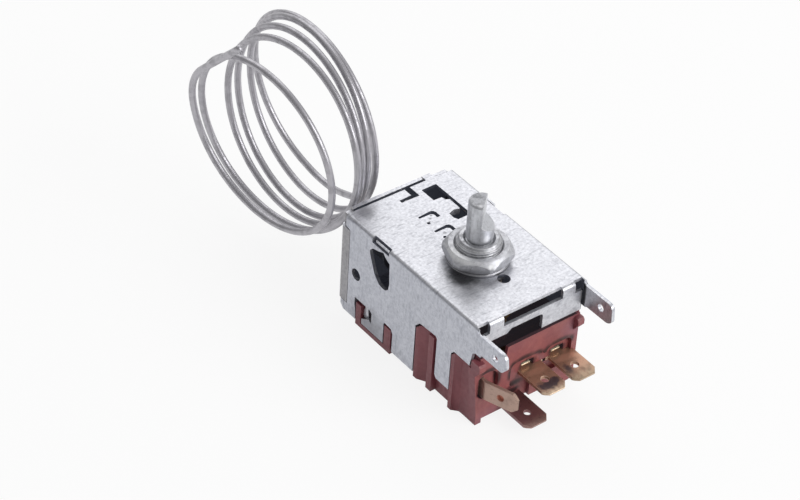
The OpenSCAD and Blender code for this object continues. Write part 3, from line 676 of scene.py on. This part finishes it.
def carried_frames(path):
    """Frames along a path that turn without twisting: X and Y across it, Z along it."""
    side = Vector((1.0, 0.0, 0.0))
    frames = []
    for i, point in enumerate(path):
        along = (path[min(i + 1, len(path) - 1)] - path[max(i - 1, 0)]).normalized()
        side = (side - along * side.dot(along)).normalized()
        other = along.cross(side)
        turn = Matrix((side, other, along)).transposed().to_4x4()
        frames.append(Matrix.Translation(point) @ turn)
    return frames


def swept(path, radius, sides, widths):
    """A bar along a path, with two widths for each ring."""
    turned = Matrix.Rotation(CRIMP_TURN, 4, "Z")
    frames = [
        frame_at @ turned @ Matrix.Diagonal((wide, thick, 1, 1))
        for frame_at, (wide, thick) in zip(carried_frames(path), widths)]
    bm = bmesh.new()
    start = bmesh.ops.create_circle(
        bm, cap_ends=True, segments=sides, radius=radius, matrix=frames[0])["verts"]
    ring = [e for e in bm.edges if all(v in start for v in e.verts)]
    for before, after in zip(frames, frames[1:]):
        made = bmesh.ops.extrude_edge_only(bm, edges=ring)["geom"]
        verts = [g for g in made if isinstance(g, bmesh.types.BMVert)]
        moved = set(verts)
        ring = [g for g in made if isinstance(g, bmesh.types.BMEdge) and set(g.verts) <= moved]
        bmesh.ops.transform(bm, matrix=after @ before.inverted(), verts=verts)
    bmesh.ops.edgeloop_fill(bm, edges=ring)
    bmesh.ops.recalc_face_normals(bm, faces=bm.faces)
    return bm


# path of the sensing tube


def at_turn(values, s):
    """Smooth value between the turns."""
    last = len(values) - 1
    i = min(int(s), last - 1)
    t = s - i
    a = 2 * values[0] - values[1] if i == 0 else values[i - 1]
    b, c = values[i], values[i + 1]
    d = 2 * values[last] - values[last - 1] if i == last - 1 else values[i + 2]
    return b + 0.5 * t * (c - a + t * (2 * a - 5 * b + 4 * c - d + t * (3 * (b - c) + d - a)))


def loop_point(s):
    """Point of the tube after s turns, in millimetres."""
    yaw, lean = math.radians(at_turn(LOOP_YAW, s)), math.radians(at_turn(LOOP_LEAN, s))
    axis = Vector((math.cos(yaw) * math.cos(lean), math.sin(yaw) * math.cos(lean), math.sin(lean)))
    across = Vector((0, 0, 1)).cross(axis).normalized()
    up = axis.cross(across)
    radius = LOOP_RADIUS + LOOP_GROWTH * (s / GROWTH_TURNS - 0.5)
    centre = Vector((at_turn(LOOP_X, s), at_turn(LOOP_Y, s), at_turn(LOOP_Z, s)))
    angle = 2 * math.pi * s
    return centre + radius * (math.cos(angle) * up + math.sin(angle) * across)


def tube_path(steps):
    """Points of the tube from its sealed end to the element, in millimetres."""
    turns = LOOP_LAST - LOOP_FIRST
    count = round(turns * steps)
    loops = [loop_point(LOOP_FIRST + turns * i / count) for i in range(count + 1)]
    lead = (loops[0] - loops[1]).normalized()
    away = (loops[-1] - loops[-2]).normalized()
    middle = Vector([at_turn(row, LOOP_FIRST) for row in (LOOP_X, LOOP_Y, LOOP_Z)]) - loops[0]
    inward = (middle - lead * middle.dot(lead)).normalized()
    turn = math.radians(END_BEND)
    bent = []
    for k in range(BEND_STEPS, 0, -1):
        part = turn * k / BEND_STEPS
        bent.append(
            loops[0] + END_RADIUS * (math.sin(part) * lead + (1 - math.cos(part)) * inward))
    straight = math.cos(turn) * lead + math.sin(turn) * inward
    sealed = [
        bent[0] + straight * SEALED_LENGTH * k / SEALED_STEPS for k in range(SEALED_STEPS, 0, -1)]
    port = Vector(TUBE_PORT)
    a, b = loops[-1], loops[-1] + TAIL_PULL * away
    c, d = port + Vector((0, TAIL_PULL, 0)), port
    tail = []
    for k in range(1, TAIL_STEPS + 1):
        t = k / TAIL_STEPS
        u = 1 - t
        tail.append(u ** 3 * a + 3 * t * u ** 2 * b + 3 * t * t * u * c + t ** 3 * d)
    return sealed + bent + loops + tail + [Vector(TUBE_ROOT)]


# operators


def within(value, span):
    """Whether a value lies between two others."""
    return span[0] < value < span[1]


def in_box(point, box):
    """Whether a point lies in a box that is given by its spans."""
    return all(within(value, span) for value, span in zip(point, box))


def inside_housing(centre, normal):
    """Inner faces of the walls, the top and the front flange, and the edges of the openings."""
    left = within(centre.x, INNER_LEFT) and normal.x > FACING
    right = within(centre.x, INNER_RIGHT) and normal.x < -FACING
    top = centre.z > INNER_TOP and normal.z < -FACING
    flange = within(centre.y, INNER_FLANGE) and normal.y > FACING
    pierced = in_box(centre, PIERCED) or in_box(centre, FOLD_WINDOW)
    upper = normal.z > FACING_WELL and centre.z > OUTER_TOP
    outer = upper or normal.x < -FACING_WELL and centre.x < OUTER_LEFT
    wall = (left or right) and centre.y > FRONT
    return wall or top or flange or pierced and not outer


def inside_cover(centre, normal):
    """Inner face of the rear plate."""
    return normal.y < -FACING and within(centre.x, COVER_INSIDE)


def cover_top(centre, normal):
    """Upper edge of the rear plate."""
    return normal.z > FACING


def inside_bracket(centre, normal):
    """All of the bracket but its lugs and the tongue in the top opening."""
    tongue = centre.x > TONGUE[0] and centre.y > TONGUE[1]
    return BRACKET_INSIDE[0] <= centre.x <= BRACKET_INSIDE[1] and not tongue


def resin_face(centre, normal):
    """Front of the base with its recesses."""
    return normal.y < -FACING_A_LITTLE and centre.y < RECESS_DEPTH


def resin_inside(centre, normal):
    """Inner faces of the base, which no light reaches."""
    deep = centre.y > BASE_DEEP or (normal.y > FACING_WELL and centre.y > BASE_BACK)
    return deep and centre.z > BASE_FLOOR and within(centre.x, BASE_INSIDE)


def spindle_end(centre, normal):
    """Sawn end of the spindle."""
    return centre.z > SPINDLE_END and normal.z > FACING_FULLY


def spindle_flat(centre, normal):
    """Milled flat of the spindle, and the slope below it."""
    flat = normal.dot(FLAT_NORMAL) > FLAT_FACING and centre.dot(FLAT_NORMAL) < FLAT_REACH
    slope = within(centre.z, SLOPE) and normal.z > SLOPE_FACING
    return centre.z > FLAT_LOW and (flat or slope)


def recess_rims(bm, width):
    """Softens the rims of the terminal recesses in the base's front."""
    rims = [
        e for e in bm.edges
        if len(e.link_faces) == 2 and e.calc_face_angle(0) > 1 and all(
            in_box(v.co / MM, RECESS_RIMS) for v in e.verts)]
    rounded(bm, rims, width, 3)


def round_corners(bm, width):
    """Rounds the corners of the earth tabs' tips."""
    corners = [
        e for e in bm.edges
        if all(v.co.y < TAB_TIPS * MM for v in e.verts)
        and abs(e.verts[0].co.x - e.verts[1].co.x) > CORNER_EDGE * MM]
    rounded(bm, corners, width, 4)


def slim_lug(bm):
    """Leaves a dark gap on both sides of the lug in the left fold's window."""
    lug = [v for v in bm.verts if v.co.x < LUG_X * MM and v.co.z > LUG_Z * MM]
    about = Matrix.Translation(Vector(LUG_MIDDLE) * -MM)
    bmesh.ops.scale(bm, vec=LUG_SHRINK, verts=lug, space=about)
    top = [v for v in lug if v.co.z > LUG_TOP * MM]
    bmesh.ops.translate(bm, vec=(0, 0, -LUG_DROP * MM), verts=top)


class THERMOSTAT_OT_housing(bpy.types.Operator):
    """Folded housing, rear plate and bracket in zinc-plated sheet"""

    bl_idname = "thermostat.housing"
    bl_label = "Housing"

    def execute(self, context):
        look = finishes()
        painted_shade, shadow_black, white = look.painted_shade, (0.012, 0.012, 0.015), (0.97, 0.97, 1.0)
        wall = (0.3, 0.33, 0.42)
        # painted light on the sheet, a spot a line: the shadow and dark reflection of the nut and
        # spindle on the top, the nut's contact shadow, painted shade on the left and on the right
        # wall, the dark reflection of the coil at the rear left corner, then four spots for the
        # shadows of the lanced tabs in the top, painted shade low on the left wall towards the
        # rear, a darker patch on the left wall, painted shade on the right tab's inner face beside
        # the flange, and a painted highlight at the front left of the top
        spots = (
            ((-9.0, -5.5, 0), (5.6, 8.5, 2), painted_shade, 0.5, 0.9, 0.3),
            ((-6.6, -3.0, 0), (3.9, 4.8, 1), shadow_black, 0.75, 0.6, 0.2),
            ((-14.5, 5, -12), (0.6, 60, 60), wall, 0.3, 0.3, 0.0),
            ((15.3, 5, -12), (0.6, 60, 60), wall, 0.3, 0.3, 0.0),
            ((-10.6, 25.6, 0), (3.8, 3.0, 1.6), painted_shade, 0.6, 0.8, 0.4),
            ((0.7, 16.9, 0), (0.45, 0.45, 0.5), shadow_black, 0.6, 0.8, 0.3),
            ((-0.2, 16.1, 0), (0.5, 0.5, 0.5), shadow_black, 0.6, 0.8, 0.3),
            ((-0.9, 15.4, 0), (0.4, 0.4, 0.5), shadow_black, 0.6, 0.8, 0.3),
            ((-0.6, 10.6, 0), (0.6, 0.6, 0.5), shadow_black, 0.5, 0.8, 0.3),
            ((-14.3, 17.0, -25.5), (1, 13, 8), painted_shade, 0.75, 0.9, 0.25),
            ((-14.3, -1.0, -12.5), (1, 4, 3), painted_shade, 0.2, 0.9, 0.3),
            ((14.3, -18.3, -4.4), (0.4, 1.0, 5), shadow_black, 0.95, 0.35, 0.05),
            ((-8.5, -16.5, 0), (3.0, 2.2, 1), white, 0.25, 0.9, 0.4),
        )
        sheet = zinc_sheet("Zinc sheet", look.zinc, look.zinc_stroke, spots=spots)
        # painted shade: the rear plate is a darker copy of the zinc sheet for the shade it sits in,
        # and its upper edge keeps the lighter sheet
        rear = zinc_sheet("Rear sheet", (0.37, 0.365, 0.38), (0.23, 0.225, 0.24))
        # painted shade: a dark copy of the sheet for the inner faces of the housing and for the
        # bracket inside it, with a faint painted glow
        dull = zinc_sheet(
            "Sheet inside", look.inside, darker(look.inside, 0.6), painted_glow=PAINTED_GLOW_STRENGTH)
        for name, node, material, inside in (
            ("folded_housing", "frame", sheet, inside_housing),
            ("rear_cover", "rear_plate", rear, inside_cover),
            ("inner_bracket", "bracket", sheet, inside_bracket),
        ):
            bm = copy_of(node)
            if node == "frame":
                round_corners(bm, sizes().tab_corner)
            if node == "bracket":
                slim_lug(bm)
            round_edges(bm, sizes().cover_edge if node == "rear_plate" else sizes().sheet_edge)
            if node == "frame":
                cut(bm, FRONT)
            piece = show(name, bm, "housing", material, (node,))
            second_finish(piece, dull, inside)
            if node == "rear_plate":
                second_finish(piece, sheet, cover_top)
        return {"FINISHED"}


class THERMOSTAT_OT_bush(bpy.types.Operator):
    """Threaded bush and hexagon nut"""

    bl_idname = "thermostat.bush"
    bl_label = "Bush and nut"

    def execute(self, context):
        look = finishes()
        # painted shade: the bush made darker at its foot, in the shadow under the nut
        foot = (((0, 0, 0.3), (20, 20, 1.1), look.painted_shade, 0.85, 0.5, 0.1),)
        plated = turned_metal(
            "Plated steel", look.plated, roughness=0.36, spots=foot, cloud=0.75, stain_size=700.0)
        nut_with_painted_light = turned_metal(
            "Nut with painted light", look.nut, metallic=0.6, roughness=0.46, edge_highlight=0.3, cloud=0.5,
            stain_size=650.0,
            # painted light on the nut, a spot a line: shade on its left side, a painted highlight
            # on the left of its top, shade on its front side, and a painted highlight at its near
            # top corner
            spots=(
                ((-6.0, -3.0, 1.0), (5.0, 7.5, 1.7), look.painted_shade, 0.9, 0.8, 0.2),
                ((-5.0, -1.0, 3.7), (4.0, 6.5, 0.9), (1.0, 1.0, 1.0), 0.6, 0.8, 0.2),
                ((-2.5, -6.5, 1.8), (6.0, 3.0, 1.4), look.painted_shade, 0.5, 0.9, 0.2),
                ((-2.2, -6.9, 3.3), (1.0, 0.7, 0.7), (0.9, 0.9, 0.9), 0.6, 0.8, 0.4),
            ))
        pitch, depth = sizes().thread_pitch / MM, sizes().thread_depth / MM
        crest, bore, top, height = 5.0, 3.05, 5.9, 0.95
        profile = [(bore, -3.4), (4.4, -3.4), (4.4, -1.9), (7, -1.9), (7, -0.8), (crest, -0.8),
            (crest, 0.0), (7, 0.0), (7, 0.7), (6.8, height), (crest - depth, height)]
        while height + pitch < top - 0.5:
            profile += [
                (crest - 0.03, height + 0.27 * pitch), (crest - 0.03, height + 0.73 * pitch),
                (crest - depth, height + pitch)]
            height += pitch
        profile += [(crest - 0.5, top - 0.42), (crest - 0.72, top - 0.08), (crest - 0.95, top),
            (bore + 0.55, top), (bore + 0.2, top - 0.25), (bore, top - 0.6)]
        bm = spun(profile, 96)
        round_edges(bm, 0.05 * MM, angle=30, segments=2)
        show("threaded_bush", bm, "housing", plated, ("bush",))
        bm = copy_of("nut")
        round_edges(bm, sizes().nut_edge, angle=12, segments=3)
        show("hexagon_nut", bm, "housing", nut_with_painted_light, ("nut",), sharp=50)
        return {"FINISHED"}


class THERMOSTAT_OT_spindle(bpy.types.Operator):
    """Flatted spindle"""

    bl_idname = "thermostat.spindle"
    bl_label = "Spindle"

    def execute(self, context):
        steel = turned_metal(
            "Drawn steel", (0.60, 0.61, 0.645), metallic=0.8, roughness=0.34, stretch=DRAWN,
            cloud=0.35, stain_size=800.0, marks=0.75,
            spots=(
                # painted light: a painted highlight on the round below the flat, and painted shade
                # where the spindle enters the bush
                ((-0.6, -2.9, 7.4), (0.9, 0.8, 1.3), (0.95, 0.95, 0.97), 0.7, 0.8, 0.3),
                ((0, 0, 5.9), (4, 4, 0.9), (0.12, 0.12, 0.13), 0.8, 0.9, 0.1),
            ))
        sawn = turned_metal(
            "Sawn end", (0.42, 0.425, 0.45), metallic=0.5, roughness=0.5, cloud=0.85,
            stain_size=620.0,
            # painted highlight: a bright crescent on the near rim of the end
            spots=(((-1.7, -1.4, 15.5), (0.9, 0.9, 1), (0.75, 0.75, 0.78), 0.7, 0.8, 0.3),))
        milled = turned_metal(
            "Milled flat", (0.56, 0.57, 0.6), metallic=0.35, roughness=0.42, stretch=DRAWN,
            cloud=0.5, marks=0.8)
        bm = copy_of("spindle")
        round_edges(bm, sizes().turned_edge, segments=3)
        piece = show(
            "flatted_spindle", bm, "spindle", steel, ("spindle",), sharp=28)
        second_finish(piece, sawn, spindle_end)
        second_finish(piece, milled, spindle_flat)
        return {"FINISHED"}


class THERMOSTAT_OT_base(bpy.types.Operator):
    """Moulded resin base"""

    bl_idname = "thermostat.base"
    bl_label = "Base"

    def execute(self, context):
        look = finishes()
        deep, plum, rim = (0.03, 0.009, 0.012), (0.25, 0.1, 0.135), (0.035, 0.007, 0.009)
        # painted shade on the base's front, a spot a line: dark round the windows of the middle and
        # right blades, the dark recess at the lower blade's root, shade low on the left, the dark
        # slot beside the upright blade, shade at the upper right and between the middle and right
        # blades, then the painted shadows along the recess rims
        painted_shade_spots = (
            ((1.1, -18, -17.7), (3.1, 3.0, 1.7), deep, 0.95, 0.45, 0.15),
            ((9.3, -18, -17.6), (3.1, 3.0, 1.7), deep, 0.95, 0.45, 0.15),
            ((-3.2, -18.0, -23.4), (3.6, 3.0, 1.1), deep, 0.9, 0.6, 0.3),
            ((-9.5, -18.3, -27.5), (7.0, 2.0, 4.5), plum, 0.6, 0.9, 0.2),
            ((-11.4, -18.3, -18.0), (1.0, 1.5, 3.6), deep, 0.85, 0.5, 0.2),
            ((13.5, -18.3, -12), (5.5, 2.0, 5.5), plum, 0.7, 0.9, 0.2),
            ((5.5, -18.3, -20), (1.6, 2.0, 4), plum, 0.5, 0.9, 0.2),
            *(
                ((x, -18.0, z), (wide, 2.2, high), rim, 0.97, 0.7, 0.06)
                for x, z, wide, high in RIMS),
        )
        # painted shade: the sides of the base get the darker resin, the front the lighter one
        sides = moulded_resin("Red resin", look.resin, look.resin_deep)
        face = moulded_resin("Red resin face", look.resin_face, look.resin_deep, painted_shade_spots)
        # the emission on this dark copy of the resin is a faint painted glow
        shade = moulded_resin(
            "Resin inside", look.resin_dark, darker(look.resin_dark, 0.5),
            painted_glow=RESIN_PAINTED_GLOW_STRENGTH)
        bm = copy_of("base")
        recess_rims(bm, sizes().recess_edge)
        round_edges(bm, sizes().resin_edge)
        piece = show("moulded_base", bm, "housing", sides, ("base",))
        second_finish(piece, face, resin_face)
        second_finish(piece, shade, resin_inside)
        return {"FINISHED"}


class THERMOSTAT_OT_blades(bpy.types.Operator):
    """Stamped blade terminals"""

    bl_idname = "thermostat.blades"
    bl_label = "Blades"

    def execute(self, context):
        look = finishes()
        clean, dull, smudge = look.brass, look.brass_dull, look.smudge
        sandy = (0.38, 0.29, 0.2)
        # cream is a painted highlight on the brass fingers seen through the base's windows
        cream, copper, rosy = (0.95, 0.85, 0.62), (0.42, 0.13, 0.08), (0.68, 0.38, 0.26)
        for name, node, slot, tones, tip, reach, share, spots in (
            ("upright_blade", "terminal_side", "blade_dull",
                ((0.46, 0.31, 0.25), (0.44, 0.30, 0.245)), -26.5, 4.0, 0.15,
                (((-9.98, -22.41, -17.8), (1.15, 1.15, 1.15), copper, 0.9, 0.35, 0.1),)),
            ("lower_blade", "terminal_low", "blade_dark",
                ((0.38, 0.24, 0.2), (0.24, 0.115, 0.12)), -27.7, 2.6, 0.3, ()),
            ("middle_blade", "terminal_mid", "blade_brass", (clean, dull), -26.9, 3.0, 0.25,
                (((1.9, -19.7, -18.5), (3.6, 1.3, 1.5), rosy, 0.9, 0.7, 0.15),
                    ((1.7, -24.2, -18.5), (4.4, 1.9, 2), smudge, 0.85, 0.6, 0.5),
                    ((0.9, -16.9, -17.5), (2.4, 1.2, 0.5), cream, 0.95, 0.3, 0.05))),
            ("right_blade", "terminal_right", "blade_brass", (sandy, dull), -26.9, 5.0, 0.2,
                (((10.1, -19.7, -18.5), (3.6, 1.3, 1.5), rosy, 0.9, 0.7, 0.15),
                    ((8.0, -23.0, -18.5), (1.3, 2.6, 2), smudge, 0.75, 0.7, 0.5),
                    ((9.1, -16.9, -17.5), (2.4, 1.2, 0.5), cream, 0.95, 0.3, 0.05))),
        ):
            label = name.replace("_", " ").capitalize()
            brass = stamped_brass(label, *tones, smudge, tip * MM, reach * MM, share, spots)
            bm = copy_of(node)
            round_edges(bm, sizes().blade_edge)
            show(name, bm, "housing", brass, (node,))
        return {"FINISHED"}


class THERMOSTAT_OT_tube(bpy.types.Operator):
    """Coiled sensing tube with its crimped end"""

    bl_idname = "thermostat.tube"
    bl_label = "Sensing tube"

    def execute(self, context):
        tinned = turned_metal(
            "Tinned tube", finishes().tube, metallic=0.78, roughness=0.36, cloud=0.3,
            stain_size=400.0, marks=0.15, relief=0.1)
        path = [p * MM for p in tube_path(sizes().tube_steps)]
        widths = []
        travelled = 0.0
        crimp = sizes().crimp_length
        for i, point in enumerate(path):
            travelled += (point - path[i - 1]).length if i else 0.0
            flat = min(1.0, max(0.0, (crimp - travelled) / (CRIMP_EASE * crimp)))
            flat *= min(1.0, max(0.0, (travelled / MM - BULB_LENGTH) / BULB_EASE))
            tip = min(1.0, BULB_TIP + travelled / MM / BULB_EASE)
            widths.append((tip * (1 + CRIMP_WIDER * flat), tip * (1 - CRIMP_THINNER * flat)))
        bm = swept(path, sizes().tube_radius, TUBE_SIDES, widths)
        show("sensing_tube", bm, "housing", tinned, ("capillary",), sharp=60)
        return {"FINISHED"}


def half_of(bm, y, keep):
    """Keeps the part of a shape before or behind a plane across Y and closes the cut."""
    cut(bm, y, keep, clear_inner=True)
    bmesh.ops.holes_fill(bm, edges=[e for e in bm.edges if e.is_boundary], sides=0)


def cut_across(bm, first, last, parts=6):
    """Gives a piece rings of points between two planes across Y."""
    for k in range(parts + 1):
        cut(bm, first + (last - first) * k / parts)


class THERMOSTAT_OT_works(bpy.types.Operator):
    """Finishes of the works inside the housing"""

    bl_idname = "thermostat.works"
    bl_label = "Works"

    def execute(self, context):
        look = finishes()
        # painted shade: the follower and the main lever get a dark copy of the sheet, with a faint
        # painted glow
        steel = zinc_sheet(
            "Inner sheet", look.inner, darker(look.inner, 0.6), painted_glow=PAINTED_GLOW_STRENGTH)
        pins = turned_metal("Pins", (0.45, 0.45, 0.47))
        pale = plain_plastic("Pale plastic", look.pale)
        bronze = turned_metal("Bronze", (0.55, 0.36, 0.18))
        copper = turned_metal("Copper leaf", (0.5, 0.26, 0.16), roughness=0.36)
        silver = turned_metal("Silver", (0.75, 0.75, 0.75))
        for material, nodes in (
            (steel, ("follower", "main_lever")),
            (pins, ("follower_pin", "lever_pin", "element_cup")),
            (pale, ("cam", "pusher")),
            (bronze, ("push_pad", "ferrule", "leaf_rivet", "trim_screw")),
            (silver, ("moving_contact", "fixed_contact")),
        ):
            for node in nodes:
                dress(node, material)
        middle = SPRING_MIDDLE
        for name, node, slot, metal, body, fixed, moved, keep in (
            ("range_coil_front", "range_spring", "pin_steel", pins, "follower", middle, 5.8, -1),
            ("range_coil_rear", "range_spring", "pin_steel", pins, "lever", middle, 14.5, 1),
            ("pressure_bellows", "bellows", "bronze", bronze, "lever", 20.9, 16.5, 0),
            ("switch_leaf", "contact_leaf", "leaf_copper", copper, "contact", -8.2, -6.8, 0),
        ):
            bm = copy_of(node)
            if keep:
                half_of(bm, middle, keep)
            else:
                cut_across(bm, fixed, moved)
            piece = piece_of(name, bm, metal, (node,), 40)
            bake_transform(piece)
        return {"FINISHED"}


def camera_rows():
    """The camera's right, up and back directions in the frame."""
    a, e, roll = (math.radians(v) for v in (CAMERA_AZIMUTH, CAMERA_ELEVATION, CAMERA_ROLL))
    right = Vector((math.cos(a), math.sin(a), 0.0))
    back = Vector((math.sin(a) * math.cos(e), -math.cos(a) * math.cos(e), math.sin(e)))
    up = back.cross(right)
    return (
        right * math.cos(roll) + up * math.sin(roll),
        up * math.cos(roll) - right * math.sin(roll),
        back,
    )


def area_lamp(name, place, aim, size, power):
    """A soft square lamp."""
    lamp = bpy.data.lights.new(name, "AREA")
    lamp.shape = "SQUARE"
    lamp.size = size
    lamp.energy = power
    made = bpy.data.objects.new(name, lamp)
    made.location = place
    made.rotation_euler = (Vector(aim) - Vector(place)).to_track_quat("-Z", "Y").to_euler()
    bpy.context.scene.collection.objects.link(made)


class THERMOSTAT_OT_studio(bpy.types.Operator):
    """Camera, floor, lamps and world"""

    bl_idname = "thermostat.studio"
    bl_label = "Studio"

    def execute(self, context):
        scene = context.scene
        settings = scene.thermostat_studio
        right, up, back = camera_rows()
        eye = (
            back / PERSPECTIVE - right * CAMERA_SHIFT[0] - up * CAMERA_SHIFT[1]
        ) * MM
        camera = bpy.data.cameras.new("Camera")
        camera.sensor_width = SENSOR_WIDTH
        camera.lens = PIXELS_PER_MM / PERSPECTIVE * SENSOR_WIDTH / IMAGE_WIDTH
        camera.clip_start = 0.01
        made = bpy.data.objects.new("Camera", camera)
        scene.collection.objects.link(made)
        turned = Matrix((right, up, back)).transposed().to_4x4()
        made.matrix_world = Matrix.Translation(eye) @ turned
        scene.camera = made

        bm = bmesh.new()
        level = Matrix.Translation((0, 0, CAD_LOW.z - FLOOR_GAP))
        bmesh.ops.create_grid(bm, x_segments=8, y_segments=8, size=FLOOR_SIZE, matrix=level)
        mesh = bpy.data.meshes.new("floor")
        bm.to_mesh(mesh)
        bm.free()
        floor = bpy.data.objects.new("floor", mesh)
        scene.collection.objects.link(floor)
        mesh.materials.append(floor_material(settings.floor))

        area_lamp("Front lamp", (0.45, -0.85, 0.55), (0, 0, 0), 0.8, settings.front_power)
        area_lamp("Back lamp", (0.45, 0.75, 0.8), (0, 0.02, 0), 1.3, settings.back_power)
        scene.world = studio_world()
        scene.view_settings.view_transform = "Standard"
        return {"FINISHED"}


def floor_material(tone):
    """Pale floor that keeps the shadow and shows white to the camera and in gloss."""
    material, tree, shader = new_material("Floor")
    fill(tree, shader, {"Base Color": opaque(tone), "Roughness": 0.9})
    path = add(tree, "ShaderNodeLightPath")
    seen = path.outputs["Is Camera Ray"]
    for kind in ("Is Glossy Ray", "Is Transmission Ray"):
        seen = add(tree, "ShaderNodeMath", {
            0: seen, 1: path.outputs[kind]}, operation="MAXIMUM").outputs[0]
    glow = add(tree, "ShaderNodeEmission", {"Color": (1, 1, 1, 1), "Strength": 1.0})
    both = add(tree, "ShaderNodeMixShader", {
        0: product(tree, seen, FLOOR_WHITE), 1: shader.outputs[0], 2: glow.outputs[0]})
    fill(tree, tree.nodes["Material Output"], {"Surface": both.outputs[0]})
    return material


def studio_world():
    """Pale world, lighter towards the right and the back."""
    world = bpy.data.worlds.new("Studio")
    world.use_nodes = True
    tree = world.node_tree
    place = add(tree, "ShaderNodeTexCoord").outputs["Generated"]
    side = add(tree, "ShaderNodeVectorMath", {
        0: place, 1: (0.55, 0.35, 0.3)}, operation="DOT_PRODUCT").outputs["Value"]
    fill(tree, tree.nodes["Background"], {"Color": ramp(tree, side, -0.6, 0.6, 0.24, 0.48)})
    return world


class THERMOSTAT_PT_panel(bpy.types.Panel):
    """Steps that dress the thermostat"""

    bl_label = "Capillary thermostat"
    bl_idname = "THERMOSTAT_PT_panel"
    bl_space_type = "VIEW_3D"
    bl_region_type = "UI"
    bl_category = "Thermostat"

    def draw(self, context):
        for group in ("thermostat_sizes", "thermostat_finishes", "thermostat_studio"):
            settings = getattr(context.scene, group)
            for key in settings.bl_rna.properties.keys():
                if key not in {"rna_type", "name"}:
                    self.layout.prop(settings, key)
        for step in STEPS:
            self.layout.operator(step.bl_idname)


STEPS = (
    THERMOSTAT_OT_housing,
    THERMOSTAT_OT_bush,
    THERMOSTAT_OT_spindle,
    THERMOSTAT_OT_base,
    THERMOSTAT_OT_blades,
    THERMOSTAT_OT_tube,
    THERMOSTAT_OT_works,
    THERMOSTAT_OT_studio,
)
GROUPS = {
    "thermostat_sizes": ThermostatSizes,
    "thermostat_finishes": ThermostatFinishes,
    "thermostat_studio": StudioSettings,
}


def register():
    """Registers the settings, the operators and the panel."""
    for key, group in GROUPS.items():
        bpy.utils.register_class(group)
        setattr(bpy.types.Scene, key, PointerProperty(type=group))
    for made in (*STEPS, THERMOSTAT_PT_panel):
        bpy.utils.register_class(made)


def unregister():
    """Takes all of them out again."""
    for made in (THERMOSTAT_PT_panel, *reversed(STEPS)):
        bpy.utils.unregister_class(made)
    for key, group in GROUPS.items():
        delattr(bpy.types.Scene, key)
        bpy.utils.unregister_class(group)


def main():
    """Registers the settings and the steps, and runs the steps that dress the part."""
    register()
    for step in STEPS:
        area, name = step.bl_idname.split(".")
        getattr(getattr(bpy.ops, area), name)()


if __name__ == "__main__":
    main()
